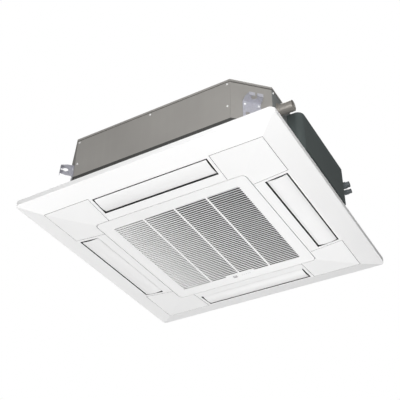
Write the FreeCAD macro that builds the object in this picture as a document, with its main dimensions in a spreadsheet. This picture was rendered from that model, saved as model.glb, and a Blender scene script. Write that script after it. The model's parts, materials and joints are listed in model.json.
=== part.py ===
import FreeCAD, Part
import math
import os
from types import SimpleNamespace

import Sketcher
from FreeCAD import Placement, Rotation, Vector

# Driving dimensions: millimetres, degrees and counts.
# Heights start from the ceiling plane, the upper edge of the panel's rim.
SIZES = {
    # ceiling panel
    "panel_width": 950,
    "panel_wall": 3,
    "panel_corner_radius": 18,
    "rim_height": 18,
    "border_width": 72,
    "border_drop": 17,
    "face_drop": 11,
    "frame_rise": 7,
    "rib_thickness": 2.5,
    "rib_spacing": 150,
    "rib_clearance": 4,
    "web_reach": 325,
    "web_hole": 300,
    # air outlets
    "outlet_inset": 78,
    "outlet_width": 78,
    "outlet_length": 426,
    # corner covers
    "cover_inner": 225,
    "cover_gap": 1.5,
    "cover_ledge": 8,
    # louvres
    "louvre_gap": 4,
    "louvre_end_gap": 2.5,
    "louvre_thickness": 3,
    "louvre_outer_height": 36,
    "louvre_inner_height": 40.5,
    "louvre_bow_radius": 200,
    "louvre_axis_height": 28,
    "louvre_arm_width": 3,
    "louvre_arm_foot": 12,
    "louvre_eye_radius": 6,
    "louvre_pin_radius": 3,
    "louvre_pin_length": 12,
    "running_clearance": 0.05,
    # swing motors
    "swing_radius": 14,
    "swing_length": 19,
    "swing_offset": 10,
    "swing_ear_reach": 21,
    "swing_ear_width": 8,
    "swing_ear_thickness": 2,
    # intake grille
    "grille_width": 562,
    "grille_gap": 3,
    "grille_depth": 12,
    "grille_wall": 3,
    "grille_corner_radius": 15,
    "field_width": 478,
    "slit_rows": 44,
    "slit_pitch": 10.7,
    "slit_width": 6.2,
    "slit_lean": 20,
    "grille_rib_width": 6.5,
    "column_pitch": 120,
    "step_base": 130,
    "step_top": 106,
    "step_depth": 14,
    "step_back": 18,
    "hinge_inset": 12,
    "hinge_height": 5.5,
    "hinge_pin_radius": 2,
    "hinge_pin_length": 5.5,
    # display
    "window_width": 17,
    "window_depth": 13,
    "window_shift": 24.5,
    "window_inset": 6,
    "window_proud": 0.6,
    "lamp_radius": 1.5,
    "lamp_pitch": 8,
    "lamp_start": 4,
    "lamp_count": 5,
    # filter
    "filter_width": 504,
    "filter_height": 6,
    "filter_edge": 6,
    "filter_rib": 4,
    "filter_rib_height": 4,
    "filter_windows": 6,
    "net_thickness": 0.8,
    "net_clearance": 0.3,
    # push catches
    "catch_spacing": 300,
    "catch_inset": 9,
    "catch_radius": 4,
    "catch_head_radius": 5.5,
    "catch_head_height": 3,
    "catch_length": 36,
    "catch_boss_width": 18,
    "catch_boss_depth": 18,
    "catch_boss_low": 24,
    "catch_boss_height": 16,
    "catch_clearance": 0.3,
    # casing
    "seal_thickness": 3,
    "casing_width": 800,
    "casing_height": 245,
    "casing_cut": 100,
    "metal": 1.2,
    "top_rim": 7.5,
    "plate_flange": 15,
    "corner_flange": 20,
    "liner_clearance": 0.4,
    "band_height": 77,
    "band_thickness": 3,
    "screw_radius": 3.5,
    "screw_height": 2,
    "screw_edge": 10,
    "screw_top_row": 18,
    "screw_low_row": 113,
    # hanger brackets
    "hanger_height": 170,
    "hanger_pitch": 736,
    "hanger_hole_radius": 9.5,
    "hanger_slit": 8,
    "bracket_width": 60,
    "bracket_tab": 46,
    "bracket_tab_width": 46,
    "bracket_metal": 2,
    "bracket_lip": 12,
    "bracket_low": 95,
    "bracket_window_width": 14,
    "bracket_window_height": 18,
    "bracket_window_shift": 14,
    "bracket_window_rise": 14,
    "bracket_screw_shift": 23,
    "bracket_screw_drop": 12,
    # drain pan
    "pan_height": 42,
    "pan_hole_radius": 238,
    "pan_duct_inner": 325,
    "pan_duct_width": 56,
    "pan_duct_margin": 2,
    "gutter_depth": 24,
    "gutter_margin": 6,
    "sump_low_x": 300,
    "sump_high_x": 374,
    "sump_low_y": 222,
    "sump_high_y": 312,
    "sump_depth": 28,
    "pan_screw_depth": 10,
    "panel_screw_radius": 2.5,
    "panel_screw_length": 16,
    "panel_screw_head": 5,
    "panel_screw_head_height": 4,
    "screw_clearance": 0.5,
    # insulation
    "liner_thickness": 18,
    "liner_motor_hole": 105,
    # bell mouth
    "bell_wall": 2.5,
    "bell_flange_width": 524,
    "bell_radius": 228,
    "throat_radius": 150,
    "bell_rise": 55,
    "throat_length": 22,
    # fan
    "fan_radius": 230,
    "fan_wall": 3,
    "eye_gap": 4,
    "eye_low": 78,
    "eye_lip": 9,
    "shroud_rise": 30,
    "disc_height": 205,
    "hub_radius": 96,
    "hub_nose_radius": 20,
    "hub_low": 142,
    "hub_shoulder": 20,
    "hub_boss_radius": 14,
    "hub_boss_height": 22,
    "blade_count": 7,
    "blade_inner": 132,
    "blade_outer": 226,
    "blade_sweep": 32,
    "blade_curve_radius": 130,
    "blade_thickness": 3,
    # fan motor
    "motor_radius": 72,
    "motor_low": 166,
    "motor_height": 80,
    "motor_edge": 8,
    "motor_ear_radius": 84,
    "motor_ear_width": 24,
    "motor_ear_thickness": 4,
    "mount_radius": 9,
    "shaft_radius": 5,
    "shaft_drop": 34,
    "shaft_depth": 40,
    # evaporator
    "coil_width": 610,
    "coil_depth": 38,
    "coil_end": 190,
    "coil_corner_radius": 90,
    "end_plate": 1.5,
    "end_plate_margin": 4,
    "tube_inset": 9.5,
    "bend_pitch": 21,
    "bend_tube_radius": 4.75,
    "bend_count": 4,
    "bend_low": 40,
    # refrigerant pipes
    "gas_pipe_radius": 7.94,
    "gas_pipe_place": 240,
    "gas_pipe_height": 203,
    "liquid_pipe_radius": 4.76,
    "liquid_pipe_place": 253,
    "liquid_pipe_height": 181,
    "pipe_bore_share": 0.8,
    "pipe_bend_radius": 22,
    "pipe_reach": 449,
    "pipe_hole_clearance": 1.5,
    "gas_nut_radius": 14,
    "liquid_nut_radius": 10.5,
    "nut_reach": 453,
    "nut_length": 26,
    "nut_hex_length": 14,
    "nut_neck_share": 0.8,
    # drain
    "outlet_pipe_radius": 19,
    "outlet_pipe_wall": 2.5,
    "outlet_pipe_place": 250,
    "outlet_pipe_height": 194,
    "outlet_pipe_reach": 451,
    "outlet_pipe_depth": 16,
    "outlet_flange_radius": 26,
    "outlet_flange_thickness": 2.5,
    "hose_wall": 3.5,
    "hose_grip": 8,
    "hose_clearance": 0.3,
    "pump_place_x": 345,
    "pump_motor_radius": 22,
    "pump_motor_low": 130,
    "pump_top": 212,
    "pump_column_radius": 13,
    "pump_cup_radius": 24,
    "pump_cup_height": 18,
    "pump_cup_clearance": 0.3,
    "pump_nozzle_length": 10,
    "guide_thickness": 4,
    "guide_height": 118,
    "guide_width": 16,
    "float_place_x": 338,
    "float_place_y": 296,
    "float_rod_radius": 3,
    "float_radius": 12,
    "float_height": 18,
    "float_gap": 0.3,
    "float_rise": 5,
    "float_stop_radius": 5,
    "float_stop_height": 3,
    # control box
    "box_near": 188,
    "box_far": 175,
    "box_depth": 52,
    "box_low": 67,
    "box_height": 155,
    "box_wall": 1.5,
    "box_gap": 0.5,
    "box_near_radius": 25,
    "box_far_radius": 8,
    "tray_depth": 19,
    "board_length": 250,
    "board_height": 130,
    "board_thickness": 1.6,
    "board_stand": 8,
    "board_shift": 45,
    "post_radius": 4,
    "part_height": 14,
    "terminal_length": 76,
    "terminal_height": 30,
    "terminal_depth": 16,
    "terminal_margin": 24,
    "terminal_poles": 5,
    "terminal_barrier": 2,
    # cuts run past the solid by this much
    "overrun": 20,
}
QUARTER_STEPS = 4
BEND_STEPS = 6
QUARTER_SHARE = tuple(
    (1 - math.sin(math.pi / 2 * step / QUARTER_STEPS), 1 - math.cos(math.pi / 2 * step / QUARTER_STEPS))
    for step in range(QUARTER_STEPS + 1)
)
CORNER_INSET_SHARE = 2 - math.sqrt(2)
DIAGONAL_SHARE = 1 / math.sqrt(2)
BEND_SHARE = math.tan(math.radians(22.5))
TOLERANCE = 1e-4
SIDES = {0: "front", 90: "right", 180: "back", 270: "left"}
CORNERS = {0: "front_right", 90: "back_right", 180: "back_left", 270: "front_left"}
AXIS_TURNS = {"x": Rotation(Vector(0, 1, 0), 90), "y": Rotation(Vector(1, 0, 0), -90), "z": Rotation()}

doc = FreeCAD.newDocument("CassetteAirConditioner")
sheet = doc.addObject("Spreadsheet::Sheet", "Sizes")
for row, (alias, value) in enumerate(SIZES.items(), start=1):
    sheet.set(f"A{row}", alias.replace("_", " "))
    sheet.set(f"B{row}", str(value))
    sheet.setAlias(f"B{row}", alias)
doc.recompute()
nodes = []


class Size:
    """A number together with the sheet expression that gives it, so one sum serves both."""

    def __init__(self, text, number):
        self.text = text
        self.number = number

    @staticmethod
    def of(value):
        return value if isinstance(value, Size) else Size(repr(value), value)

    def __add__(self, other):
        other = Size.of(other)
        return Size(f"({self.text} + {other.text})", self.number + other.number)

    def __sub__(self, other):
        other = Size.of(other)
        return Size(f"({self.text} - {other.text})", self.number - other.number)

    def __rsub__(self, other):
        return Size.of(other) - self

    def __mul__(self, other):
        other = Size.of(other)
        return Size(f"({self.text} * {other.text})", self.number * other.number)

    def __truediv__(self, other):
        other = Size.of(other)
        return Size(f"({self.text} / {other.text})", self.number / other.number)

    def __neg__(self):
        return Size(f"(-{self.text})", -self.number)

    __radd__ = __add__
    __rmul__ = __mul__


size = SimpleNamespace(**{alias: Size(f"Sizes.{alias}", sheet.get(alias)) for alias in SIZES})


def bind(thing, prop, value):
    """Ties a property to a size."""
    thing.setExpression(prop, Size.of(value).text)


def place(thing, x, y, z):
    """Ties a position to three sizes."""
    for axis, value in zip("xyz", (x, y, z)):
        bind(thing, f".Placement.Base.{axis}", value)


def node(label, thing, turn=0):
    """Names a finished sub-part and sets it down from the ceiling plane to the hanger plane."""
    thing.Label = label
    thing.Placement = Placement(Vector(), Rotation(Vector(0, 0, 1), turn))
    place(thing, 0, 0, -size.hanger_height)
    nodes.append(thing)
    return thing


def block(x, y, z):
    """A box between three pairs of limits."""
    box = doc.addObject("Part::Box", "Block")
    for prop, (low, high) in zip(("Length", "Width", "Height"), (x, y, z)):
        bind(box, prop, high - low)
    place(box, x[0], y[0], z[0])
    return box


def rod(axis, radius, span, at):
    """A cylinder along an axis over a span, at the two other coordinates."""
    cylinder = doc.addObject("Part::Cylinder", "Rod")
    bind(cylinder, "Radius", radius)
    bind(cylinder, "Height", span[1] - span[0])
    cylinder.Placement = Placement(Vector(), AXIS_TURNS[axis])
    spot = list(at)
    spot.insert("xyz".index(axis), span[0])
    place(cylinder, *spot)
    return cylinder


def hexagon(axis, radius, span, at):
    """A six-sided prism along an axis."""
    prism = doc.addObject("Part::Prism", "Hexagon")
    prism.Polygon = 6
    bind(prism, "Circumradius", radius)
    bind(prism, "Height", span[1] - span[0])
    prism.Placement = Placement(Vector(), AXIS_TURNS[axis])
    spot = list(at)
    spot.insert("xyz".index(axis), span[0])
    place(prism, *spot)
    return prism


def frustum(top_half, low_half, top, low):
    """A square frustum that narrows downward."""
    wedge = doc.addObject("Part::Wedge", "Frustum")
    for axis in "XZ":
        bind(wedge, f"{axis}min", -top_half)
        bind(wedge, f"{axis}max", top_half)
        bind(wedge, f"{axis}2min", -low_half)
        bind(wedge, f"{axis}2max", low_half)
    bind(wedge, "Ymin", 0)
    bind(wedge, "Ymax", top - low)
    wedge.Placement = Placement(Vector(), Rotation(Vector(1, 0, 0), -90))
    place(wedge, 0, 0, top)
    return wedge


def fuse(*things):
    joined = doc.addObject("Part::MultiFuse", "Fuse")
    joined.Shapes = list(things)
    return joined


def common(*things):
    shared = doc.addObject("Part::MultiCommon", "Common")
    shared.Shapes = list(things)
    return shared


def cut(base, *tools):
    cutting = doc.addObject("Part::Cut", "Cut")
    cutting.Base = base
    cutting.Tool = tools[0] if len(tools) == 1 else fuse(*tools)
    return cutting


def group(*things):
    """Separate solids that share one sub-part."""
    compound = doc.addObject("Part::Compound", "Group")
    compound.Links = list(things)
    return compound


def on_side(turn, along, out):
    """Plan limits of a block on one side of the square: along the side, and out from the centre."""
    (start, end), (inner, outer) = along, out
    return {
        0: ((start, end), (-outer, -inner)),
        90: ((inner, outer), (start, end)),
        180: ((-end, -start), (inner, outer)),
        270: ((-outer, -inner), (-end, -start)),
    }[turn]


def new_body(name):
    return doc.addObject("PartDesign::Body", name)


def sketch_on(body, plane, lift=0):
    """A sketch on one of the body's own planes, lifted along its normal."""
    sketch = body.newObject("Sketcher::SketchObject", "Sketch")
    support = next(item for item in body.Origin.OriginFeatures if item.Role == f"{plane}_Plane")
    sketch.AttachmentSupport = [(support, "")]
    sketch.MapMode = "FlatFace"
    bind(sketch, ".AttachmentOffset.Base.z", lift)
    return sketch


def fix_point(sketch, geometry, end, x, y):
    """Holds one point of a sketch at two sizes."""
    for kind, axis, value in (("DistanceX", -2, x), ("DistanceY", -1, y)):
        if Size.of(value).text == "0":
            sketch.addConstraint(Sketcher.Constraint("PointOnObject", geometry, end, axis))
            continue
        index = sketch.addConstraint(Sketcher.Constraint(kind, -1, 1, geometry, end, Size.of(value).number))
        bind(sketch, f"Constraints[{index}]", value)


def draw(sketch, corners, closed=True):
    """Draws an outline. A corner's third value makes the side after it an arc of that radius,
    which swells to the right of the line of travel, or to the left if it is negative."""
    points = [Vector(Size.of(corner[0]).number, Size.of(corner[1]).number, 0) for corner in corners]
    sides = []
    for index, corner in enumerate(corners if closed else corners[:-1]):
        start, end = points[index], points[(index + 1) % len(points)]
        if len(corner) == 2:
            sides.append((sketch.addGeometry(Part.LineSegment(start, end), False), 1, 2))
            continue
        radius = Size.of(corner[2]).number
        chord = end - start
        right = Vector(chord.y, -chord.x, 0).normalize()
        rise = abs(radius) - math.sqrt(radius * radius - chord.Length ** 2 / 4)
        crown = (start + end) / 2 + right * math.copysign(rise, radius)
        arc = sketch.addGeometry(Part.Arc(start, crown, end), False)
        forward = sketch.getPoint(arc, 1).distanceToPoint(start) < sketch.getPoint(arc, 2).distanceToPoint(start)
        sides.append((arc, 1, 2) if forward else (arc, 2, 1))
        index = sketch.addConstraint(Sketcher.Constraint("Radius", arc, abs(radius)))
        bind(sketch, f"Constraints[{index}]", corner[2] if radius > 0 else -corner[2])
    for (side, _, end), (following, start, _) in zip(sides, sides[1:] + (sides[:1] if closed else [])):
        sketch.addConstraint(Sketcher.Constraint("Coincident", side, end, following, start))
    for (side, start, _), corner in zip(sides, corners):
        fix_point(sketch, side, start, corner[0], corner[1])
    if not closed:
        fix_point(sketch, sides[-1][0], sides[-1][2], corners[-1][0], corners[-1][1])


def circle(sketch, x, y, radius):
    centre = Vector(Size.of(x).number, Size.of(y).number, 0)
    ring = sketch.addGeometry(Part.Circle(centre, Vector(0, 0, 1), Size.of(radius).number), False)
    fix_point(sketch, ring, 3, x, y)
    index = sketch.addConstraint(Sketcher.Constraint("Radius", ring, Size.of(radius).number))
    bind(sketch, f"Constraints[{index}]", radius)


def rectangle(sketch, x, y):
    draw(sketch, ((x[0], y[0]), (x[1], y[0]), (x[1], y[1]), (x[0], y[1])))


def square(sketch, half):
    rectangle(sketch, (-half, half), (-half, half))


def rounded_square(sketch, half, radius):
    flat = half - radius
    draw(sketch, (
        (-flat, -half), (flat, -half, radius), (half, -flat), (half, flat, radius),
        (flat, half), (-flat, half, radius), (-half, flat), (-half, -flat, radius),
    ))


def pad(body, sketch, length, both=False, back=False):
    feature = body.newObject("PartDesign::Pad", "Pad")
    feature.Profile = sketch
    feature.SideType = "Symmetric" if both else "One side"
    feature.Reversed = back
    bind(feature, "Length", length)
    return feature


def pocket(body, sketch, depth, both=False):
    """Cuts down from the sketch, or to both sides of it."""
    feature = body.newObject("PartDesign::Pocket", "Pocket")
    feature.Profile = sketch
    feature.SideType = "Symmetric" if both else "One side"
    bind(feature, "Length", depth)
    return feature


def revolve(body, sketch, kind="Revolution"):
    """Turns a sketch on the upright plane about the vertical axis."""
    feature = body.newObject(f"PartDesign::{kind}", kind)
    feature.Profile = sketch
    feature.ReferenceAxis = (sketch, ["V_Axis"])
    feature.Angle = 360
    return feature


def round_upright(body, feature, radius, spots):
    """Rounds the upright edges of a feature that stand at the given plan positions."""
    doc.recompute()
    wanted = [Vector(Size.of(x).number, Size.of(y).number, 0) for x, y in spots]
    names = []
    for index, edge in enumerate(feature.Shape.Edges, start=1):
        first, last = edge.Vertexes[0].Point, edge.Vertexes[-1].Point
        plan = Vector(first.x, first.y, 0)
        upright = Vector(last.x, last.y, 0).isEqual(plan, TOLERANCE)
        if upright and any(plan.isEqual(spot, TOLERANCE) for spot in wanted):
            names.append(f"Edge{index}")
    fillet = body.newObject("PartDesign::Fillet", "Fillet")
    fillet.Base = (feature, names)
    bind(fillet, "Radius", radius)
    return fillet


def octagon(inset):
    """Plan of the casing, moved in by an inset (out if negative)."""
    half = casing_half - inset
    flat = half - size.casing_cut + inset * CORNER_INSET_SHARE
    return (
        (flat, -half), (half, -flat), (half, flat), (flat, half),
        (-flat, half), (-half, flat), (-half, -flat), (-flat, -half),
    )


# Levels and distances that several sub-parts share
half_panel = size.panel_width / 2
border_half = half_panel - size.border_width
outlet_outer = half_panel - size.outlet_inset
outlet_inner = outlet_outer - size.outlet_width
outlet_half = size.outlet_length / 2
outlet_middle = (outlet_inner + outlet_outer) / 2
grille_half = size.grille_width / 2
opening_half = grille_half + size.grille_gap
opening_radius = size.grille_corner_radius + size.grille_gap
rim_low = -size.rim_height
border_low = rim_low - size.border_drop
face_low = border_low - size.face_drop
frame_top = size.frame_rise
casing_half = size.casing_width / 2
casing_low = frame_top + size.seal_thickness
casing_top = casing_low + size.casing_height
plate_top = casing_top - size.metal
liner_inset = size.metal * 2 + size.liner_clearance
pan_low = casing_low + size.metal
pan_top = pan_low + size.pan_height
liner_top = plate_top - size.metal - size.liner_clearance
coil_low = pan_top - size.gutter_depth
coil_top = liner_top - size.liner_thickness
coil_half = size.coil_width / 2
coil_inner = coil_half - size.coil_depth
inner_row = coil_inner + size.tube_inset
outer_row = coil_half - size.tube_inset
chamfer_out = (casing_half * 2 - size.casing_cut) * DIAGONAL_SHARE - size.metal
catch_out = -(opening_half - size.catch_inset)
hinge_out = grille_half - size.hinge_inset
hinge_level = face_low + size.hinge_height
lamp_y = size.field_width / 2 + size.window_inset
window_x = tuple(size.window_width / 2 * sign - size.window_shift for sign in (-1, 1))
window_y = tuple(size.window_depth / 2 * sign + lamp_y for sign in (-1, 1))


def rounded_prism(half, radius, low, high):
    body = new_body("Prism")
    sketch = sketch_on(body, "XY", low)
    rounded_square(sketch, half, radius)
    pad(body, sketch, high - low)
    return body


def dished(wall, top):
    """The panel's outline filled solid: upright rim, steep border, flatter face."""
    outline = (-(half_panel - wall), half_panel - wall)
    rim = block(outline, outline, (rim_low + wall, top))
    border = frustum(half_panel - wall, border_half, rim_low + wall, border_low + wall)
    face = frustum(border_half, grille_half, border_low + wall, face_low + wall)
    corners = rounded_prism(half_panel - wall, size.panel_corner_radius - wall, face_low, top)
    return common(fuse(rim, border, face), corners)


def cover_prism(grow, opening):
    """Upright prism over the front right corner cover, with its plan grown or shrunk."""
    body = new_body("CoverPrism")
    inner = size.cover_inner - grow
    outer = border_half + grow
    sketch = sketch_on(body, "XY", face_low - size.overrun)
    round_start = opening - opening_radius
    draw(sketch, (
        (inner, -outer), (outer, -outer), (outer, -inner), (opening, -inner),
        (opening, -round_start, -opening_radius), (round_start, -opening), (inner, -opening),
    ))
    pad(body, sketch, frame_top - face_low + size.overrun)
    return body


def quarter(thing, turn):
    """The same solid turned to another side of the square."""
    turned = doc.addObject("Part::Compound", "Turned")
    turned.Links = [thing]
    turned.Placement = Placement(Vector(), Rotation(Vector(0, 0, 1), turn))
    return turned


def make_panel():
    """Ceiling panel frame and its four corner covers."""
    wall = size.panel_wall
    envelope = dished(0, Size.of(0))
    cavity = dished(wall, frame_top)
    skin = cut(envelope, cavity)
    cover = cover_prism(Size.of(0), opening_half)
    grown = cover_prism(size.cover_gap, opening_half - size.cover_gap)
    ledge_plan = cut(
        cover_prism(size.cover_ledge, opening_half),
        cover_prism(-size.cover_ledge, opening_half + size.cover_ledge),
    )
    ledge = common(cut(dished(wall, frame_top), dished(wall * 2, frame_top)), ledge_plan)
    over = (face_low - size.overrun, frame_top + size.overrun)
    tube_span = (face_low, frame_top)
    openings = [rounded_prism(opening_half, opening_radius, *over)]
    walls = [rounded_prism(opening_half + wall, opening_radius + wall, *tube_span)]
    for turn in SIDES:
        slot = on_side(turn, (-outlet_half, outlet_half), (outlet_inner, outlet_outer))
        duct = on_side(turn, (-(outlet_half + wall), outlet_half + wall), (outlet_inner - wall, outlet_outer + wall))
        openings.append(block(*slot, over))
        walls.append(block(*duct, tube_span))
        for step in (-1, 0, 1):
            middle = size.rib_spacing * step
            along = (middle - size.rib_thickness / 2, middle + size.rib_thickness / 2)
            rib = on_side(turn, along, (outlet_outer + wall, half_panel))
            walls.append(block(*rib, (face_low, -size.rib_clearance)))
        web = on_side(turn, (outlet_half, size.web_reach), (outlet_half, size.web_reach))
        walls.append(block(*web, (frame_top - wall, frame_top)))
    bosses = []
    for sign in (-1, 1):
        middle = size.catch_spacing / 2 * sign
        boss_half = size.catch_boss_width / 2
        boss = block(
            (middle - boss_half, middle + boss_half),
            (-opening_half, -(opening_half - size.catch_boss_depth)),
            (-size.catch_boss_low, size.catch_boss_height - size.catch_boss_low),
        )
        bore = size.catch_radius + size.running_clearance
        bosses.append(cut(boss, rod("z", bore, (face_low, frame_top), (middle, catch_out))))
    holes = []
    pin_hole = size.louvre_pin_radius + size.running_clearance
    reach = (-(outlet_half + wall + size.overrun), outlet_half + wall + size.overrun)
    for sign in (-1, 1):
        holes.append(rod("x", pin_hole, reach, (outlet_middle * sign, -size.louvre_axis_height)))
        holes.append(rod("y", pin_hole, reach, (outlet_middle * sign, -size.louvre_axis_height)))
        for other in (-1, 1):
            spot = (size.web_hole * sign, size.web_hole * other)
            hole = size.panel_screw_radius + size.screw_clearance
            holes.append(rod("z", hole, (-size.rim_height, frame_top + size.overrun), spot))
    hinge_hole = size.hinge_pin_radius + size.running_clearance
    hinge_reach = opening_half + wall
    holes.append(rod("x", hinge_hole, (-hinge_reach, hinge_reach), (hinge_out, hinge_level)))
    shell = cut(skin, *(quarter(grown, turn) for turn in SIDES))
    inner = common(fuse(*walls), cavity)
    frame = fuse(shell, inner, *(quarter(ledge, turn) for turn in SIDES))
    node("panel_frame", fuse(cut(frame, *openings, *holes), *bosses))
    for turn, corner in CORNERS.items():
        node(f"corner_cover_{corner}", common(skin, cover), turn)


def make_louvre(turn, side):
    """Curved blade with an arm and a pin at each end."""
    body = new_body("Louvre")
    outer = -(outlet_outer - size.louvre_gap)
    inner = -(outlet_inner + size.louvre_gap)
    low_outer, low_inner = -size.louvre_outer_height, -size.louvre_inner_height
    thick = size.louvre_thickness
    length = size.outlet_length - size.louvre_end_gap * 2
    section = sketch_on(body, "YZ")
    draw(section, (
        (outer, low_outer, size.louvre_bow_radius), (inner, low_inner),
        (inner, low_inner + thick, -size.louvre_bow_radius), (outer, low_outer + thick),
    ))
    pad(body, section, length, both=True)
    level = -size.louvre_axis_height
    eye = size.louvre_eye_radius
    middle = -outlet_middle
    foot = (low_outer + low_inner) / 2
    for sign in (-1, 1):
        lift = length / 2 * sign
        arm = sketch_on(body, "YZ", lift)
        draw(arm, (
            (middle - size.louvre_arm_foot, foot), (middle + size.louvre_arm_foot, foot),
            (middle + eye, level), (middle - eye, level),
        ))
        pad(body, arm, size.louvre_arm_width, back=sign > 0)
        ring = sketch_on(body, "YZ", lift)
        circle(ring, middle, level, eye)
        pad(body, ring, size.louvre_arm_width, back=sign > 0)
        pin = sketch_on(body, "YZ", lift)
        circle(pin, middle, level, size.louvre_pin_radius)
        pad(body, pin, size.louvre_pin_length, back=sign < 0)
    node(f"louvre_{side}", body, turn)


def make_swing_motor(turn, side):
    """Flat stepper motor with two ears, bored for the louvre's pin."""
    start = outlet_half + size.panel_wall
    level = -size.louvre_axis_height
    centre = level + size.swing_offset
    can = rod("x", size.swing_radius, (start, start + size.swing_length), (-outlet_middle, centre))
    ear_span = (start, start + size.swing_ear_thickness)
    reach = size.swing_ear_reach
    half_ear = size.swing_ear_width / 2
    ears = block(
        ear_span, (-(outlet_middle + reach), -(outlet_middle - reach)), (centre - half_ear, centre + half_ear),
    )
    bore_radius = size.louvre_pin_radius + size.running_clearance
    bore = rod("x", bore_radius, (start - size.overrun, start + size.swing_length / 2), (-outlet_middle, level))
    node(f"swing_motor_{side}", cut(fuse(can, ears), bore), turn)


def make_grille():
    """Intake grille: shelled border, three ribs, leaning slits, display step, hinge pins."""
    body = new_body("Grille")
    wall = size.grille_wall
    field_half = size.field_width / 2
    grille_top = face_low + size.grille_depth
    plate = sketch_on(body, "XY", face_low)
    rounded_square(plate, grille_half, size.grille_corner_radius)
    pad(body, plate, size.grille_depth)
    recess = sketch_on(body, "XY", grille_top)
    rounded_square(recess, grille_half - wall, size.grille_corner_radius - wall)
    square(recess, field_half + wall)
    pocket(body, recess, size.grille_depth - wall)
    slits = sketch_on(body, "XY", face_low)
    first = -field_half + (size.field_width - size.slit_pitch * (size.slit_rows - 1) - size.slit_width) / 2
    columns = (-field_half, -size.column_pitch, Size.of(0), size.column_pitch, field_half)
    half_rib = size.grille_rib_width / 2
    for index in range(len(columns) - 1):
        start = columns[index] + (half_rib if index > 0 else 0)
        end = columns[index + 1] - (half_rib if index < len(columns) - 2 else 0)
        rectangle(slits, (start, end), (first, first + size.slit_width))
    slit = pocket(body, slits, size.overrun * 4, both=True)
    slit.UseCustomVector = True
    lean = math.radians(size.slit_lean.number)
    slit.Direction = Vector(0, math.sin(lean), math.cos(lean))
    doc.recompute()
    rows = body.newObject("PartDesign::LinearPattern", "Rows")
    rows.Originals = [slit]
    rows.Direction = (slits, ["V_Axis"])
    bind(rows, "Length", size.slit_pitch * (size.slit_rows - 1))
    bind(rows, "Occurrences", size.slit_rows)
    body.Tip = rows
    step = sketch_on(body, "XY", face_low)
    base, top = size.step_base / 2, size.step_top / 2
    back = field_half + size.step_back
    draw(step, (
        (-base, back), (-base, field_half), (-top, field_half - size.step_depth),
        (top, field_half - size.step_depth), (base, field_half), (base, back),
    ))
    pad(body, step, size.grille_depth)
    for sign in (-1, 1):
        strike = sketch_on(body, "XY", face_low)
        middle = size.catch_spacing / 2 * sign
        rectangle(strike, (middle - size.catch_boss_width / 2, middle + size.catch_boss_width / 2),
                  (-grille_half, -(opening_half - size.catch_boss_depth)))
        pad(body, strike, size.grille_depth)
        pin = sketch_on(body, "YZ", (grille_half - size.grille_corner_radius) * sign)
        circle(pin, hinge_out, hinge_level, size.hinge_pin_radius)
        pad(body, pin, size.grille_corner_radius + size.hinge_pin_length, back=sign < 0)
    window = sketch_on(body, "XY", face_low)
    rectangle(window, window_x, window_y)
    pocket(body, window, size.grille_depth / 2, both=True)
    lamps = sketch_on(body, "XY", face_low)
    for index in range(int(size.lamp_count.number)):
        circle(lamps, size.lamp_start + size.lamp_pitch * index, lamp_y, size.lamp_radius)
    pocket(body, lamps, size.grille_depth / 2, both=True)
    node("intake_grille", body)


def make_display():
    """Receiver window and indicator lamps, set into the grille's step."""
    low = face_low - size.window_proud
    high = face_low + size.grille_depth / 4
    node("receiver_window", group(block(window_x, window_y, (low, high))))
    lamps = []
    for index in range(int(size.lamp_count.number)):
        spot = (size.lamp_start + size.lamp_pitch * index, lamp_y)
        lamps.append(rod("z", size.lamp_radius, (face_low, high), spot))
    node("indicator_lamps", group(*lamps))


def make_filter():
    """Filter frame with crossing ribs, and the net that lies on the ribs."""
    low = face_low + size.grille_depth
    half = size.filter_width / 2
    inside = half - size.filter_edge
    body = new_body("FilterFrame")
    outline = sketch_on(body, "XY", low)
    square(outline, half)
    pad(body, outline, size.filter_height)
    top = sketch_on(body, "XY", low + size.filter_height)
    square(top, inside)
    pocket(body, top, size.filter_height - size.filter_rib_height)
    windows = sketch_on(body, "XY", low)
    count = int(size.filter_windows.number)
    pitch = (inside * 2 + size.filter_rib) / size.filter_windows
    for column in range(count):
        for line in range(count):
            x, y = pitch * column - inside, pitch * line - inside
            rectangle(windows, (x, x + pitch - size.filter_rib), (y, y + pitch - size.filter_rib))
    pocket(body, windows, size.filter_height * 2, both=True)
    node("filter_frame", body)
    net_half = inside - size.net_clearance
    net_low = low + size.filter_rib_height
    net = block((-net_half, net_half), (-net_half, net_half), (net_low, net_low + size.net_thickness))
    node("filter_net", group(net))


def make_catches():
    """Sprung plungers that the grille's free edge pushes up."""
    low = face_low + size.grille_depth + size.catch_clearance
    for sign, side in ((-1, "left"), (1, "right")):
        spot = (size.catch_spacing / 2 * sign, catch_out)
        head = rod("z", size.catch_head_radius, (low, low + size.catch_head_height), spot)
        stem = rod("z", size.catch_radius, (low, low + size.catch_length), spot)
        node(f"catch_{side}", fuse(head, stem))


def make_seal():
    """Foam plate between the panel and the casing, open at the intake and the outlets."""
    wall = size.panel_wall
    body = new_body("Seal")
    outline = sketch_on(body, "XY", frame_top)
    draw(outline, octagon(Size.of(0)))
    square(outline, opening_half + wall)
    for turn in SIDES:
        rectangle(outline, *on_side(turn, (-outlet_half, outlet_half), (outlet_inner, outlet_outer)))
    for x in (-size.web_hole, size.web_hole):
        for y in (-size.web_hole, size.web_hole):
            circle(outline, x, y, size.panel_screw_radius + size.screw_clearance)
    pad(body, outline, size.seal_thickness)
    node("panel_seal", body)


def make_panel_screws():
    """Four screws that hold the panel up to the drain pan's corners."""
    low = frame_top - size.panel_wall
    screws = []
    for x in (-size.web_hole, size.web_hole):
        for y in (-size.web_hole, size.web_hole):
            head = hexagon("z", size.panel_screw_head, (low - size.panel_screw_head_height, low), (x, y))
            shank = rod("z", size.panel_screw_radius, (low, low + size.panel_screw_length), (x, y))
            screws.append(fuse(head, shank))
    node("panel_screws", group(*screws))


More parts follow.
